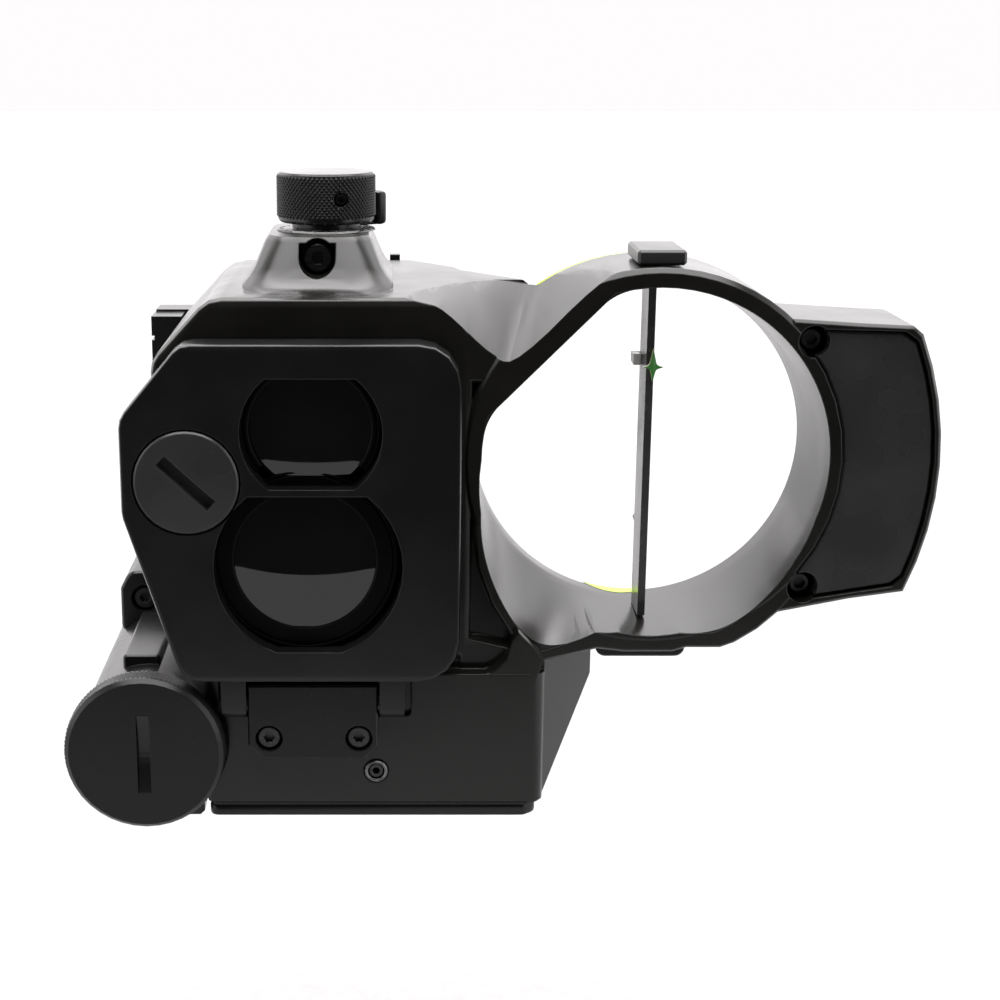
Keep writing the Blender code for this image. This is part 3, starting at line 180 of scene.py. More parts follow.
def make_finishes():
    """One material for each of the record's slots, then those that single pieces have to themselves."""
    made = {
        "black_cast_metal": coated(
            "cast_coat", (0.0055, 0.0055, 0.0048), (0.0075, 0.0075, 0.0066), (0.19, 0.24),
            0.35, 0.003, 0.35, ior=1.37),
        "black_anodised": coated(
            "anodised", (0.0055, 0.0055, 0.0053), (0.008, 0.008, 0.0077), (0.22, 0.28),
            0.18, 0.003, 0.2, ior=1.37),
        "black_plastic": coated(
            "moulded", (0.0045, 0.0045, 0.0045), (0.0065, 0.0065, 0.0065), (0.22, 0.27),
            0.22, 0.003, 0.25, ior=1.35),
        "black_rubber": coated(
            "rubber", (0.012, 0.012, 0.012), (0.018, 0.018, 0.018), (0.6, 0.75), 0.3, 0.012, 0.2),
        "dark_steel": metal("black_oxide", (0.035, 0.035, 0.035), (0.075, 0.075, 0.075), (0.3, 0.45)),
        "dull_steel": metal("worn_steel", (0.10, 0.10, 0.10), (0.18, 0.18, 0.18), (0.35, 0.5)),
        "bright_steel": metal("plain_steel", (0.48, 0.48, 0.48), (0.62, 0.62, 0.62), (0.2, 0.35)),
        "brass": metal("brass_metal", (0.5, 0.34, 0.12), (0.66, 0.47, 0.2), (0.22, 0.38)),
        "board_green": coated(
            "board", (0.012, 0.07, 0.03), (0.02, 0.12, 0.05), (0.35, 0.5), 0.6, 0.01, 0.1),
        "screen_grey": coated(
            "screen", (0.10, 0.115, 0.10), (0.13, 0.145, 0.125), (0.25, 0.3), 0.1, 0.002, 0.1),
        "cell_wrap": coated(
            "cell_sleeve", (0.05, 0.12, 0.28), (0.07, 0.15, 0.33), (0.3, 0.4), 0.5, 0.006, 0.15),
        "post_grey": coated(
            "post_coat", (0.02, 0.02, 0.02), (0.03, 0.03, 0.03), (0.22, 0.3), 0.2, 0.004, 0.12, ior=1.7),
    }

    glass = Finish("lens_glass").set(IOR=1.52, Coat_Weight=0.0)
    smears = glass.noise(6.0, 3.0)
    glass.colour(smears, (0.0012, 0.0012, 0.0016), (0.002, 0.002, 0.0026))
    glass.rough(smears, 0.015, 0.05)
    made["coated_glass"] = glass.material

    clear = Finish("clear_pane").set(IOR=1.5, Transmission_Weight=1.0)
    dust = clear.noise(1.2, 3.0)
    clear.colour(dust, (0.86, 0.9, 0.9), (0.95, 0.97, 0.97))
    clear.rough(dust, 0.01, 0.05)
    made["clear_glass"] = clear.material

    bright = Finish("fluorescent_rim").set(IOR=1.45)
    tone = bright.noise(4.0, 2.0)
    bright.colour(tone, (0.40, 0.62, 0.04), (0.5, 0.74, 0.06))
    bright.rough(tone, 0.3, 0.42)
    made["fluorescent_green"] = bright.material

    made["pin_green"] = coated(
        "pin_enamel", (0.018, 0.15, 0.012), (0.03, 0.22, 0.02), (0.25, 0.35), 0.4, 0.004, 0.08)
    # Painted glow: the star's sides are pale yellow-green to stand for the light the fluorescent pin gathers
    # and gives out at its edges.
    made["pin_edge"] = coated(
        "pin_edge_painted_glow", (0.75, 0.85, 0.42), (0.9, 0.95, 0.6), (0.3, 0.4), 0.4, 0.004, 0.05)
    made["clip_white"] = coated(
        "clip_nylon", (0.72, 0.72, 0.70), (0.82, 0.82, 0.80), (0.35, 0.45), 0.4, 0.006, 0.12, ior=1.5)
    # Painted shade: the darkest black of all, put on the lens retainers and on the floors of the arm's screw
    # recesses to stand for the shade inside those recesses.
    made["window_black"] = coated(
        "retainer_black", (0.0012, 0.0012, 0.0012), (0.002, 0.002, 0.002), (0.3, 0.4),
        0.3, 0.003, 0.08, ior=1.14)
    made["cover_black"] = coated(
        "cover_moulding", (0.018, 0.018, 0.018), (0.024, 0.024, 0.024), (0.25, 0.32),
        0.2, 0.003, 0.25, ior=1.4)
    made["rim_polish"] = coated(
        "rim_polish_black", (0.008, 0.008, 0.008), (0.012, 0.012, 0.012), (0.18, 0.24),
        0.3, 0.002, 0.05, ior=1.45)
    made["bore_coat"] = coated(
        "bore_paint", (0.0055, 0.0055, 0.0048), (0.0075, 0.0075, 0.0066), (0.2, 0.25),
        0.35, 0.002, 0.0, ior=1.45)
    made["low_black"] = coated(
        "low_black_coat", (0.005, 0.005, 0.005), (0.007, 0.007, 0.007), (0.22, 0.28),
        0.35, 0.003, 0.2, ior=1.31)
    made["mark_white"] = coated(
        "mark_paint", (0.6, 0.6, 0.58), (0.75, 0.75, 0.73), (0.4, 0.5), 0.3, 0.004, 0.05, ior=1.5)
    made["bubble"] = coated(
        "bubble_skin", (0.55, 0.75, 0.2), (0.7, 0.9, 0.3), (0.05, 0.1), 0.5, 0.002, 0.05, ior=1.4)
    return made


FINISHES = make_finishes()


def rounded_shading():
    """A geometry modifier that joins each node's loose triangles and shades the curved faces smoothly."""
    tree = bpy.data.node_groups.new("rounded_shading", "GeometryNodeTree")
    tree.interface.new_socket("Geometry", in_out="INPUT", socket_type="NodeSocketGeometry")
    tree.interface.new_socket("Geometry", in_out="OUTPUT", socket_type="NodeSocketGeometry")
    start = tree.nodes.new("NodeGroupInput")
    end = tree.nodes.new("NodeGroupOutput")
    plain = tree.nodes.new("GeometryNodeRemoveAttribute")
    plain.inputs["Name"].default_value = "custom_normal"
    merge = tree.nodes.new("GeometryNodeMergeByDistance")
    merge.inputs["Distance"].default_value = 1e-6
    smooth = tree.nodes.new("GeometryNodeSetShadeSmooth")
    smooth.domain = "FACE"
    sharp = tree.nodes.new("GeometryNodeSetShadeSmooth")
    sharp.domain = "EDGE"
    sharp.inputs["Shade Smooth"].default_value = False
    angle = tree.nodes.new("GeometryNodeInputMeshEdgeAngle")
    over = tree.nodes.new("FunctionNodeCompare")
    over.operation = "GREATER_THAN"
    over.inputs["B"].default_value = math.radians(28)
    link = tree.links.new
    link(start.outputs[0], plain.inputs["Geometry"])
    link(plain.outputs["Geometry"], merge.inputs["Geometry"])
    link(merge.outputs["Geometry"], smooth.inputs["Geometry"])
    link(smooth.outputs["Geometry"], sharp.inputs["Geometry"])
    link(angle.outputs["Unsigned Angle"], over.inputs["A"])
    link(over.outputs["Result"], sharp.inputs["Selection"])
    link(sharp.outputs["Geometry"], end.inputs[0])
    return tree


OWN_FINISH = {  # the nodes whose look differs from that of their slot
    "arm_cover": "cover_black",
    "access_plug": "cover_black",
    "adjust_screw_ring": "dull_steel",
    "hinge_plate": "low_black",
    "bottom_gasket": "low_black",
    "battery_cap": "low_black",
    "accessory_block": "cover_black",
    "scale_ring": "bore_coat",
    "pivot_pin": "dark_steel",
    "battery_cell": "cell_wrap",
}
SHADING = rounded_shading()
for cad_node in NODES.values():
    slot_name = cad_node.data.materials[0].name.split(".")[0]
    cad_node.material_slots[0].material = FINISHES[OWN_FINISH.get(cad_node.name, slot_name)]
    modifier = cad_node.modifiers.new("rounded", "NODES")
    modifier.node_group = SHADING
    modifier = cad_node.modifiers.new("flat_faces", "WEIGHTED_NORMAL")
    modifier.keep_sharp = True


# ---------------------------------------------------------------- finer pieces

OFFSET = Vector((32.0, -105.0, 8.0))  # from the row's frame to the middle of the sight ring's front
RING_BORE = 27.0
RING_DEPTH = 21.0
RING_FLAT = 23.4  # distance of the flat at the bore's upper left
RING_FLAT_TURN = 135  # degrees, the way that flat faces
RING_REAR = (-0.3, -0.75)  # X and Z of the bore's centre at the back
RING_FLARE = (  # degrees round the front of the sight ring, and its radius there
    (-180, 27.0), (-163, 28.2), (-147, 30.9), (-137, 32.6), (-127, 34.4), (-118.6, 35.5), (-115, 33.4),
    (-107, 29.3), (-100, 28.4), (-90, 28.6), (-80, 28.5), (-70, 29.8), (-62, 29.6), (-50, 28.6), (-35, 27.6),
    (-20, 27.0), (0, 27.0),
)
AIM_HEIGHT = 13.6  # of the star, from the ring's middle
LENS_LEVEL = -4.9
WINDOWS = (  # name, X, Z, radius of the lens, outer radius of its retainer, radius of its sphere, cut level
    ("upper", -53.35, 6.3, 9.4, 10.7, 50.0, -7.3),
    ("lower", -54.3, -14.5, 11.1, 14.2, 40.0, None),
)
WINDOW_EDGES = (  # name, X, Z, radius, and the round stretches of the opening in degrees
    ("upper", -53.1, 6.0, 10.8, ((-45, 40), (140, 225))),
    ("lower", -53.7, -15.0, 14.5, ((-62, 30), (150, 242))),
)
BOX_FACES = ((0, 1, 3, 2), (4, 6, 7, 5), (0, 4, 5, 1), (2, 3, 7, 6), (0, 2, 6, 4), (1, 5, 7, 3))


def spot(x, y, z):
    """A point given from the middle of the sight ring's front, in the row frame, in millimetres."""
    return Vector((x, y, z)) + OFFSET


def piece(name, points, faces, body, slot_name, finish=None, smooth=False):
    """A mesh from points in millimetres, which moves with a body."""
    mesh = bpy.data.meshes.new(name)
    mesh.from_pydata([tuple(Vector(point) * MM) for point in points], [], faces)
    shape = bmesh.new()
    shape.from_mesh(mesh)
    bmesh.ops.remove_doubles(shape, verts=shape.verts, dist=1e-7)
    bmesh.ops.recalc_face_normals(shape, faces=shape.faces)
    shape.to_mesh(mesh)
    shape.free()
    if smooth:
        mesh.shade_smooth()
    made = bpy.data.objects.new(name, mesh)
    bpy.context.scene.collection.objects.link(made)
    made.data.materials.append(finish or FINISHES[slot_name])
    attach(made, body)
    return made


def round_faces(rows, columns, closed=True):
    """Faces between rows of points that go all the way round; closed joins the last row to the first."""
    faces = []
    for row in range(rows if closed else rows - 1):
        start = row * columns
        after = (row + 1) % rows * columns
        for column in range(columns):
            ahead = (column + 1) % columns
            faces.append((start + column, start + ahead, after + ahead, after + column))
    return faces


class Shape:
    """Collects points and faces for one piece."""

    def __init__(self):
        self.points = []
        self.faces = []

    def add(self, points, faces):
        first = len(self.points)
        self.points.extend(points)
        self.faces.extend([tuple(first + i for i in face) for face in faces])

    def brick(self, points):
        """A solid with six sides, from points in the order of three nested pairs."""
        self.add(points, BOX_FACES)

    def block(self, low, high):
        """A box between two corners."""
        ends = list(zip(low, high))
        self.brick([Vector((x, y, z)) for x in ends[0] for y in ends[1] for z in ends[2]])

    def bar(self, points):
        """A bar through sections of four points each, with closed ends."""
        last = len(points) - 4
        faces = [(0, 2, 3, 1), (last, last + 1, last + 3, last + 2)]
        for a in range(0, last, 4):
            faces += [(a, a + 4, a + 6, a + 2), (a + 1, a + 3, a + 7, a + 5), (a, a + 1, a + 5, a + 4),
                      (a + 2, a + 6, a + 7, a + 3)]
        self.add(points, faces)

    def prism(self, outline, low, high):
        """An outline in X and Z, made thick from low to high in Y."""
        count = len(outline)
        points = [Vector((x, y, z)) for y in (low, high) for x, z in outline]
        faces = [tuple(range(count)), tuple(range(2 * count - 1, count - 1, -1))]
        faces += [(i, (i + 1) % count, count + (i + 1) % count, count + i) for i in range(count)]
        self.add(points, faces)

    def revolve(self, centre, axis, profile, steps, closed=True):
        """Rings of (radius, distance along the axis); a closed profile is joined back to its start."""
        points = []
        for radius, along in profile:
            for step in range(steps):
                angle = 2 * math.pi * step / steps
                across = radius * math.cos(angle), radius * math.sin(angle)
                points.append(centre + turned(axis, *across, along))
        self.add(points, round_faces(len(profile), steps, closed))

    def arc(self, centre, start, end, profile, steps):
        """Part of a ring about Y, from start to end in degrees, with flat ends."""
        count = len(profile)
        points = []
        for step in range(steps + 1):
            angle = math.radians(start + (end - start) * step / steps)
            points += [centre + Vector((r * math.cos(angle), y, r * math.sin(angle))) for r, y in profile]
        faces = [tuple(range(count)), tuple(range((steps + 1) * count - 1, steps * count - 1, -1))]
        for step in range(steps):
            a = step * count
            faces += [(a + k, a + (k + 1) % count, a + count + (k + 1) % count, a + count + k)
                      for k in range(count)]
        if end - start == 360:
            faces = faces[2:]
        self.add(points, faces)

    def make(self, name, body, slot_name, finish=None, smooth=False):
        """The piece made of what was collected."""
        return piece(name, self.points, self.faces, body, slot_name, finish, smooth)


def turned(axis, u, v, along):
    """A step of u and v across an axis and along it."""
    if axis == "X":
        return Vector((along, u, v))
    if axis == "Y":
        return Vector((u, along, v))
    return Vector((u, v, along))


def knurl(name, centre, axis, radius, low, high, count, pitch, depth, body, slot_name, hole=None):
    """A sleeve of pyramids, count of them round it in each row, open in front of a hole (centre, radius)."""
    shape = Shape()
    rows = round((high - low) / pitch * 2)
    columns = 2 * count
    points = []
    for row in range(rows + 1):
        along = low + (high - low) * row / rows
        at_end = row in (0, rows)
        for column in range(columns):
            angle = 2 * math.pi * column / columns
            peak = (row + column) % 2 == 0 and not at_end
            reach = radius + (depth if peak else 0.0)
            points.append(centre + turned(axis, reach * math.cos(angle), reach * math.sin(angle), along))
    faces = []
    for row in range(rows):
        for column in range(columns):
            ahead = (column + 1) % columns
            a = row * columns + column
            b = row * columns + ahead
            c = (row + 1) * columns + ahead
            d = (row + 1) * columns + column
            split = (row + column) % 2 == 0
            triangles = ((a, b, d), (b, c, d)) if split else ((a, b, c), (a, c, d))
            for face in triangles:
                if hole:
                    near = sum((points[i] for i in face), Vector()) / 3 - hole[0]
                    if near.y < 0 and math.hypot(near.x, near.z) < hole[1]:
                        continue
                faces.append(face)
    shape.add(points, faces)
    return shape.make(name, body, slot_name)


def make_grips():
    """The diamond knurling on the elevation knob and round the battery cap."""
    low, high = corners("elevation_knob")
    centre = Vector(((low.x + high.x) / 2, (low.y + high.y) / 2, 0.0))
    grub_hole = centre + Vector((2.6, 0.0, 46.6))
    knurl("knob_grip", centre, "Z", 7.86, low.z + 0.75, high.z - 0.35, 68, 0.85, 0.26, "elevation_knob",
          "black_anodised", hole=(grub_hole, 1.3))
    low, high = corners("battery_cap")
    centre = Vector(((low.x + high.x) / 2, 0.0, (low.z + high.z) / 2))
    knurl("cap_grip", centre, "Y", (high.x - low.x) / 2 - 0.05, low.y + 0.75, low.y + 3.9, 110, 0.8, 0.24,
          "battery_cap", "black_anodised")


def slot_bed(name, centre, turn, length, width, front, depth, body):
    """The curved bottom of a coin slot, as a cutter wheel leaves it."""
    steps = 14
    points = []
    for step in range(steps + 1):
        along = length * (step / steps - 0.5)
        level = front + depth * (1 - (2 * along / length) ** 2)
        for side in (-width / 2, width / 2):
            x = along * math.sin(turn) + side * math.cos(turn)
            z = along * math.cos(turn) - side * math.sin(turn)
            points += [centre + Vector((x, level + thick, z)) for thick in (0.0, 0.25)]
    shape = Shape()
    shape.bar(points)
    return shape.make(name, body, "black_anodised")


def lens_shape(radius, bulge, lowest=None, steps=64, rings=8):
    """A disc that bulges towards -Y, cut off level at the bottom where lowest is given."""
    points = [Vector((0, -bulge, 0))]
    for ring in range(1, rings + 1):
        for step in range(steps):
            angle = 2 * math.pi * step / steps
            edge = radius
            if lowest is not None and math.sin(angle) < 0:
                edge = min(radius, lowest / math.sin(angle))
            out = edge * ring / rings
            level = -bulge * (1 - (out / radius) ** 2)
            points.append(Vector((out * math.cos(angle), level, out * math.sin(angle))))
    faces = [(0, 1 + (step + 1) % steps, 1 + step) for step in range(steps)]
    for ring in range(rings - 1):
        for step in range(steps):
            a = 1 + ring * steps + step
            b = 1 + ring * steps + (step + 1) % steps
            faces.append((a, b, b + steps, a + steps))
    return points, faces


def make_windows():
    """Behind each opening of the bezel: the domed front of the lens, and a black retaining ring round it,
    made darker than the other blacks as painted shade for the recess.
    """
    for name, x, z, radius, outer, sphere, lowest in WINDOWS:
        centre = spot(x, LENS_LEVEL, z)
        front = Shape()
        points, faces = lens_shape(radius, radius ** 2 / (2 * sphere), lowest)
        front.add([centre + point for point in points], faces)
        front.make(f"{name}_lens_front", "laser_module", "coated_glass", smooth=True)
        profile = [(radius - 0.1, 0.3), (radius - 0.1, -0.15), (radius + 0.15, -0.3),
                   (outer - 0.7, -0.3), (outer - 0.55, -0.1), (outer - 0.4, -0.1),
                   (outer - 0.3, -0.35), (outer, -0.35), (outer, 0.3)]
        start, end = (-38, 218) if lowest else (0, 360)
        retainer = Shape()
        retainer.arc(centre, start, end, profile, 64)
        # Painted shade: the retainer's black is made darker than the bezel to stand for the shade in the
        # window's recess.
        retainer.make(f"{name}_retainer", "laser_module", "black_plastic", FINISHES["window_black"])


def make_window_edges():
    """The polished chamfer along the round stretches of each opening in the bezel."""
    steps = 24
    for name, x, z, radius, spans in WINDOW_EDGES:
        section = ((radius - 0.02, -7.72), (radius + 0.26, -8.03), (radius + 0.1, -7.7))
        chamfer = Shape()
        for start, end in spans:
            for step in range(steps):
                angles = [math.radians(start + (end - start) * (step + k) / steps) for k in (0, 1)]
                points = [spot(x + r * math.cos(a), y, z + r * math.sin(a))
                          for r, y in section for a in angles]
                chamfer.add(points, [(0, 1, 3, 2), (2, 3, 5, 4), (4, 5, 1, 0)])
        chamfer.make(f"{name}_window_edge", "laser_module", "black_plastic", FINISHES["rim_polish"])


def make_star():
    """The green aiming point: a star with hollowed sides and a ridge down each arm; its sides are painted
    pale as a painted glow.
    """
    low, high = corners("sight_pin")
    centre = Vector(((low.x + high.x) / 2, low.y, spot(0, 0, AIM_HEIGHT).z))
    reach = (1.6, 2.95, 1.45, 2.3)  # right, up, left and down
    waist = 0.42
    outline = []
    for arm in range(4):
        start = math.pi / 2 * arm
        tip = reach[arm]
        after = reach[(arm + 1) % 4]
        outline.append((tip * math.cos(start), tip * math.sin(start)))
        for part, size in ((0.18, 1.15), (0.5, 0.8), (0.82, 1.15)):
            angle = start + math.pi / 2 * part
            span = (tip * (1 - part) + after * part) * size * waist
            outline.append((span * math.cos(angle), span * math.sin(angle)))
    count = len(outline)
    front = [centre + Vector((u, 0.0, w)) for u, w in outline]
    back = [centre + Vector((u, 0.75, w)) for u, w in outline]
    peak = centre + Vector((0.0, -0.35, 0.0))
    face = Shape()
    face.add([*front, peak], [(i, (i + 1) % count, count) for i in range(count)])
    face.make("star_face", "sight_pin", "pin_green")
    side = Shape()
    side.add(front + back, round_faces(2, count, closed=False))
    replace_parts(side.make("star_side", "sight_pin", "pin_green", FINISHES["pin_edge"]), "sight_pin")


def make_post_lights():
    """A row of small pins up the rear edge of the post, with a larger one low down."""
    low, high = corners("led_strip")
    x = (low.x + high.x) / 2
    pitch = 0.95
    end = 0.8
    pins = Shape()
    for number in range(int((high.z - low.z - 2 * end) / pitch) + 1):
        foot = Vector((x, high.y, low.z + end + pitch * number))
        pins.revolve(foot, "Y", [(0.02, 1.5), (0.2, 1.42), (0.29, 1.2), (0.29, -0.1)], 8, False)
    pins.make("post_pins", "housing", "black_plastic", smooth=True)
    large = Shape()
    foot = Vector((x, high.y, spot(0, 0, -AIM_HEIGHT).z))
    large.revolve(foot, "Y", [(0.02, 2.2), (0.4, 2.05), (0.55, 1.7), (0.55, -0.1)], 12, False)
    large.make("post_pin_large", "housing", "black_plastic", smooth=True)


def mouth_radii(count):
    """The radius of the ring's front opening at even steps round it, with its corners rounded."""
    turns = np.arange(count) * 360 / count
    bearings, radii = zip(*RING_FLARE)
    mouth = np.interp(turns, bearings, radii, period=360)
    facing = np.cos(np.radians(turns - RING_FLAT_TURN))
    mouth = np.minimum(mouth, RING_FLAT / np.maximum(facing, 0.5))
    waves = np.arange(count // 2 + 1)
    smooth = np.fft.irfft(np.fft.rfft(mouth) * np.exp(-((waves * 0.055) ** 2)), count)
    return np.minimum(smooth, mouth - 0.03)


def bore_row(mouth, depth):
    """The radii of the smooth bore at a depth of 0 to 1, flared in front and round at the back."""
    count = len(mouth)
    turns = np.arange(count) * 2 * math.pi / count
    ease = min(depth / 0.82, 1.0)
    waves = np.arange(count // 2 + 1)
    soft = np.fft.irfft(np.fft.rfft(mouth) * np.exp(-((waves * 0.08 * ease) ** 2)), count)
    rear = RING_BORE + RING_REAR[0] * np.cos(turns) + RING_REAR[1] * np.sin(turns)
    facing = np.cos(turns - math.radians(RING_FLAT_TURN))
    rear = np.minimum(rear, (RING_FLAT + 0.3) / np.maximum(facing, 0.5))
    return soft * (1 - ease) + rear * ease - 0.09 * min(depth * 8, 1.0)


def make_bore():
    """The smooth inside of the sight ring with its front lip."""
    steps = 16
    mouth = mouth_radii(288)
    count = len(mouth)
    inner = [(RING_DEPTH * step / steps, bore_row(mouth, step / steps)) for step in range(1, steps + 1)]
    outer = [(along - 0.1, row + 0.5) for along, row in reversed(inner)]
    lip = mouth + 1.1
    loop = [(-0.03, lip), (-0.03, mouth), *inner, *outer, (0.4, lip)]
    points = []
    for along, row in loop:
        for number, reach in enumerate(row):
            angle = 2 * math.pi * number / count
            points.append(spot(reach * math.cos(angle), along, reach * math.sin(angle)))
    shape = Shape()
    shape.add(points, round_faces(len(loop), count))
    lining = shape.make("bore_lining", "housing", "black_cast_metal", FINISHES["bore_coat"], smooth=True)
    lining.data.set_sharp_from_angle(angle=math.radians(40))


def make_rim():
    """The green ring behind the sight ring, and the short green window under the post's foot."""
    rim = Shape()
    rim.revolve(spot(RING_REAR[0], RING_DEPTH, 0.0), "Y",
                [(27.9, 0.05), (29.7, 0.05), (29.85, 0.2), (29.85, 0.5), (29.7, 0.65), (27.9, 0.65)], 96)
    rim.make("rim_glow", "housing", "fluorescent_green")
    steps = 16
    points = []
    for step in range(steps + 1):
        part = 2 * step / steps - 1
        angle = math.radians(-96 + 11 * part)
        reach = RING_BORE + RING_REAR[0] * math.cos(angle) + RING_REAR[1] * math.sin(angle) - 0.14
        for along in (RING_DEPTH + 0.6, RING_DEPTH + 0.5 - 2.4 * (1 - part * part)):
            for out in (reach, reach + 0.3):
                points.append(spot(out * math.cos(angle), along, out * math.sin(angle)))
    window = Shape()
    window.bar(points)
    window.make("rim_window", "housing", "fluorescent_green")


def make_pits():
    """Painted shade: dark discs set at the floors of the two recesses that hold the arm's screws."""
    shape = Shape()
    for node in ("arm_screw_upper", "arm_screw_lower"):
        at = middle(node) + Vector((1.0, 0.0, -0.9))
        at.y = spot(0, 4.4, 0).y
        shape.revolve(at, "Y", [(0.02, 0.0), (2.9, 0.0), (3.0, 0.1), (3.0, 0.4), (0.02, 0.4)], 32)
    shape.make("arm_screw_pit_shade", "housing", "black_plastic", FINISHES["window_black"])


def make_knob_top():
    """The knob's flat, polished top."""
    low, high = corners("elevation_knob")
    centre = Vector(((low.x + high.x) / 2, (low.y + high.y) / 2, high.z))
    shape = Shape()
    shape.revolve(centre, "Z", [(0.02, 0.06), (7.35, 0.06), (7.62, -0.02), (7.62, -0.2), (0.02, -0.2)], 72)
    shape.make("knob_top", "elevation_knob", "black_anodised", FINISHES["rim_polish"])


def make_clip():
    """The small white clip that holds the aiming star on the post."""
    low, high = corners("pin_clip")
    post_low, post_high = corners("pin_post")
    level = spot(0, 0, AIM_HEIGHT).z
    edge = post_high.y - 0.2
    gap = 0.05
    shape = Shape()
    for start, end in ((low.x, post_low.x - gap), (post_high.x + gap, post_high.x + 0.2)):
        shape.brick([Vector((x, edge + y, level + z * tall)) for x in (start, end)
                     for y, tall in ((-1.3, 0.9), (1.3, 0.7)) for z in (-1, 1)])
    shape.block((low.x, high.y - 0.6, level - 0.8), (post_high.x + 0.2, high.y, level + 0.8))
    clip = shape.make("pin_clip_white", "sight_pin", "black_plastic", FINISHES["clip_white"])
    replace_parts(clip, "pin_clip")


def make_scale():
    """Fine white lines and marks on the ring under the knob: the two white arcs along its front are painted
    highlights, the ticks round it are printed marks.
    """
    low, high = corners("scale_ring")
    centre = Vector(((low.x + high.x) / 2, (low.y + high.y) / 2, high.z))
    thick = (0.0, 0.05)
    steps = 24
    shape = Shape()
    # Painted highlights: two white arcs on the front part of the ring; the ticks that follow are printed
    # index marks.
    for radius, start, end, gap in ((7.75, 228, 312, None), (8.9, 235, 305, (256, 282))):
        for step in range(steps):
            turns = [start + (end - start) * (step + k) / steps for k in (0, 1)]
            if gap and gap[0] < turns[0] < gap[1]:
                continue
            angles = [math.radians(turn) for turn in turns]
            shape.brick([centre + Vector((r * math.cos(a), r * math.sin(a), h))
                         for r in (radius - 0.07, radius + 0.07) for a in angles for h in thick])
    for turn in range(0, 360, 15):
        angle = math.radians(turn)
        out = Vector((math.cos(angle), math.sin(angle), 0))
        across = Vector((-out.y, out.x, 0))
        shape.brick([centre + out * r + across * side + Vector((0, 0, h))
                     for r in (7.1, 7.7) for side in (-0.09, 0.09) for h in thick])
    shape.make("scale_marks", "housing", "bright_steel", FINISHES["mark_white"])


def make_level():
    """The level's bubble and the two lines beside it."""
    low, high = corners("level_vial")
    centre = (low + high) / 2
    bubble = Shape()
    profile = []
    for step in range(9):
        angle = math.pi * step / 8
        profile.append((max(0.62 * math.sin(angle), 0.01), 1.1 * math.cos(angle)))
    bubble.revolve(centre + Vector((0, 0.25, 0.3)), "X", profile, 14, False)
    bubble.make("level_bubble", "housing", "clear_glass", FINISHES["bubble"], smooth=True)
    lines = Shape()
    profile = [(1.10, -0.1), (1.16, -0.1), (1.16, 0.1), (1.10, 0.1)]
    for side in (-1.5, 1.5):
        lines.revolve(centre + Vector((side, 0, 0)), "X", profile, 20)
    lines.make("level_lines", "housing", "black_plastic")


def make_thread():
    """The thread on the windage screw, as a helical ridge."""
    low, high = corners("windage_screw")
    centre = Vector((0.0, (low.y + high.y) / 2, (low.z + high.z) / 2))
    points = []
    per_turn = 14
    pitch = 0.8
    turns = int((high.x - low.x - 6.0) / pitch)
    for step in range(turns * per_turn + 1):
        angle = 2 * math.pi * step / per_turn
        along = low.x + 4.0 + pitch * step / per_turn
        for radius, shift in ((1.40, -0.3), (1.72, 0.0), (1.40, 0.3)):
            across = radius * math.cos(angle), radius * math.sin(angle)
            points.append(centre + turned("X", *across, along + shift))
    faces = []
    for step in range(turns * per_turn):
        a = 3 * step
        faces += [(a, a + 1, a + 4, a + 3), (a + 1, a + 2, a + 5, a + 4)]
    thread = Shape()
    thread.add(points, faces)
    thread.make("windage_thread", "windage_screw", "dark_steel")


def make_icons():
    """Raised marks on the buttons: a triangle up, a ring, and a triangle down."""
    for name in ("button_up", "button_menu", "button_down"):
        back = corners(name)[1].y
        x, _, z = middle(name)
        shape = Shape()
        if name == "button_menu":
            profile = [(0.75, -0.05), (1.05, -0.05), (1.05, 0.1), (0.75, 0.1)]
            shape.revolve(Vector((x, back, z)), "Y", profile, 20)
        else:
            way = 1 if name == "button_up" else -1
            triangle = [(x - 1.0, z - 0.7 * way), (x + 1.0, z - 0.7 * way), (x, z + 0.9 * way)]
            shape.prism(triangle, back - 0.05, back + 0.1)
        shape.make(f"{name}_mark", name, "black_rubber", FINISHES["mark_white"])


def make_rail_marks():
    """Ticks along the windage rail, for reading the setting."""
    low, high = corners("windage_rail")
    shape = Shape()
    base = high.z - 6.0
    for number in range(21):
        x = low.x + 12.0 + number
        height = 2.4 if number % 5 == 0 else 1.4
        shape.block((x - 0.08, high.y - 0.02, base), (x + 0.08, high.y + 0.04, base + height))
    shape.make("rail_marks", "mount", "bright_steel", FINISHES["mark_white"])


make_grips()
slot_bed("cap_slot_bed", spot(-79.9, 0, -45.5), 0.0, 13.1, 2.05, -8.05, 1.1, "battery_cap")
make_windows()
make_window_edges()
make_star()
make_post_lights()
make_bore()
make_rim()
make_pits()
make_knob_top()
make_clip()
make_scale()
make_level()
make_thread()
make_icons()
make_rail_marks()


# ---------------------------------------------------------------- stage

BACK_DARK = 0.06
BACK_LIGHT = 1.85
HIGH_GAIN = 1.95  # how much brighter the wall behind is higher up
TOP_LIGHT = 8.5
SIDE_LIGHT = 2.4
FLOOR_DROP = 0.100  # metres below the part, which is held up by its riser
FLOOR_REACH = 0.330  # metres of floor in front of the part
CAMERA_PLACE = (-0.00919, -0.36876, 0.07203)
CAMERA_TILT = 14.267  # degrees downwards


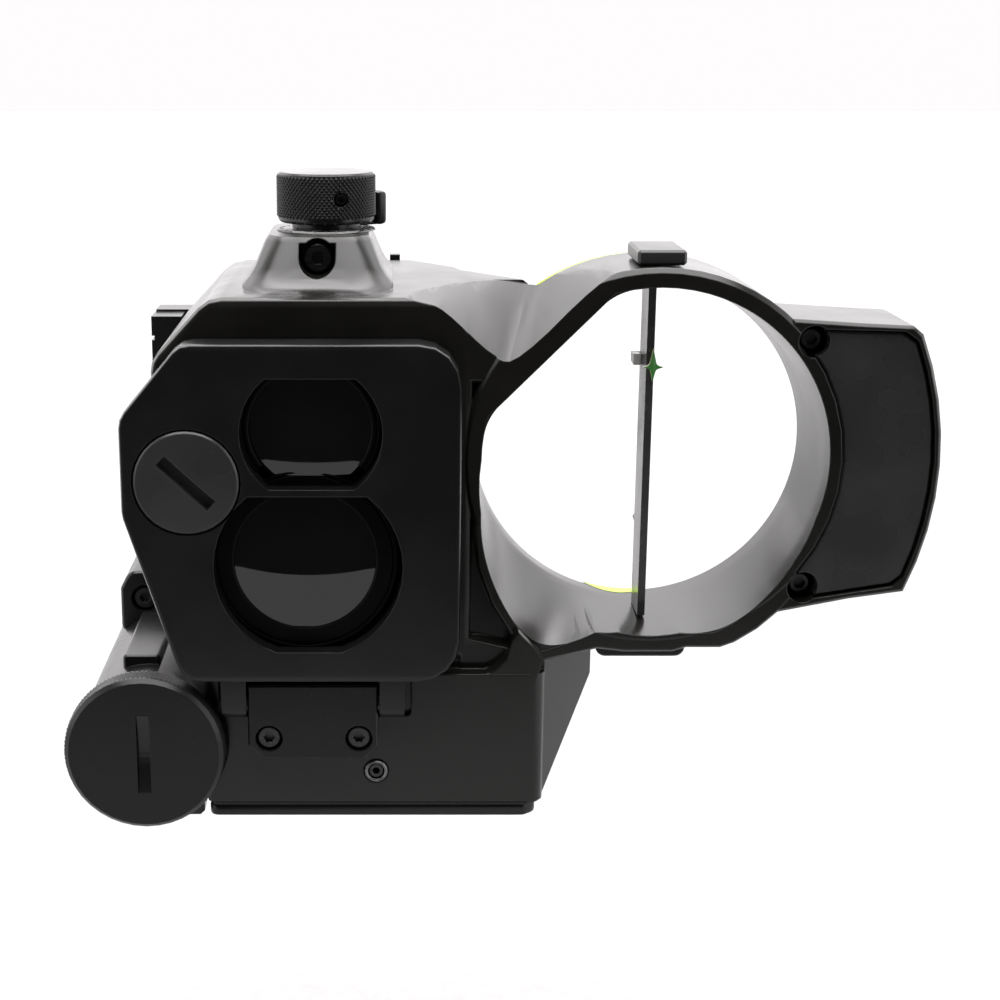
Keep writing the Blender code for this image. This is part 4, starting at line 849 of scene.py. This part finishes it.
def make_floor():
    """A pale, plain floor under the part."""
    low, high = CAD_BOX
    floor_z = low.z - FLOOR_DROP
    mesh = bpy.data.meshes.new("floor")
    near = low.y - FLOOR_REACH
    mesh.from_pydata([(-3, near, floor_z), (3, near, floor_z), (3, 5, floor_z), (-3, 5, floor_z)], [],
                     [(0, 1, 2, 3)])
    floor = bpy.data.objects.new("floor", mesh)
    bpy.context.scene.collection.objects.link(floor)
    paper = Finish("floor_paper")
    fibres = paper.noise(3.0, 3.0)
    paper.colour(fibres, (0.235, 0.235, 0.235), (0.26, 0.26, 0.26))
    paper.set(Roughness=0.8)
    floor.data.materials.append(paper.material)


def make_studio():
    """A world that is dark in front and bright behind, above and at the sides."""
    world = bpy.data.worlds.new("studio")
    bpy.context.scene.world = world
    world.use_nodes = True
    tree = world.node_tree
    shader = tree.nodes["Background"]
    where = tree.nodes.new("ShaderNodeTexCoord").outputs["Generated"]
    split = tree.nodes.new("ShaderNodeSeparateXYZ")
    tree.links.new(where, split.inputs[0])

    def ramp(source, start, end, low_value, high_value):
        made = tree.nodes.new("ShaderNodeMapRange")
        made.interpolation_type = "SMOOTHSTEP"
        made.inputs["From Min"].default_value = start
        made.inputs["From Max"].default_value = end
        made.inputs["To Min"].default_value = low_value
        made.inputs["To Max"].default_value = high_value
        tree.links.new(source, made.inputs["Value"])
        return made.outputs["Result"]

    def maths(operation, first, second):
        made = tree.nodes.new("ShaderNodeMath")
        made.operation = operation
        for number, value in enumerate((first, second)):
            if isinstance(value, (int, float)):
                made.inputs[number].default_value = value
            else:
                tree.links.new(value, made.inputs[number])
        return made.outputs[0]

    behind = ramp(split.outputs["Y"], 0.0, 0.6, BACK_DARK, BACK_LIGHT)
    raised = ramp(split.outputs["Z"], 0.25, 0.6, 1.0, HIGH_GAIN)
    back = maths("MULTIPLY", behind, raised)
    top = ramp(split.outputs["Z"], 0.78, 0.88, 0.0, TOP_LIGHT)
    side = ramp(maths("ABSOLUTE", split.outputs["X"], 0.0), 0.6, 0.9, 0.0, SIDE_LIGHT)
    total = maths("ADD", maths("ADD", back, top), side)
    seen = tree.nodes.new("ShaderNodeLightPath").outputs["Is Camera Ray"]
    choice = tree.nodes.new("ShaderNodeMix")
    choice.data_type = "FLOAT"
    tree.links.new(seen, choice.inputs["Factor"])
    tree.links.new(total, choice.inputs[2])
    choice.inputs[3].default_value = 1.0
    tree.links.new(choice.outputs[0], shader.inputs["Strength"])
    shader.inputs["Color"].default_value = (1.0, 0.978, 0.984, 1)


def make_camera():
    """The camera, in front of the part and a little above it."""
    camera_data = bpy.data.cameras.new("camera")
    camera_data.lens = 63.0
    camera_data.sensor_width = 36.0
    camera_data.shift_x = 0.11
    camera_data.shift_y = -0.02
    camera_data.clip_start = 0.01
    camera = bpy.data.objects.new("camera", camera_data)
    bpy.context.scene.collection.objects.link(camera)
    camera.location = CAMERA_PLACE
    camera.rotation_euler = (math.radians(90 - CAMERA_TILT), 0, 0)
    bpy.context.scene.camera = camera


make_floor()
make_studio()
make_camera()
bpy.context.scene.view_settings.view_transform = "Standard"
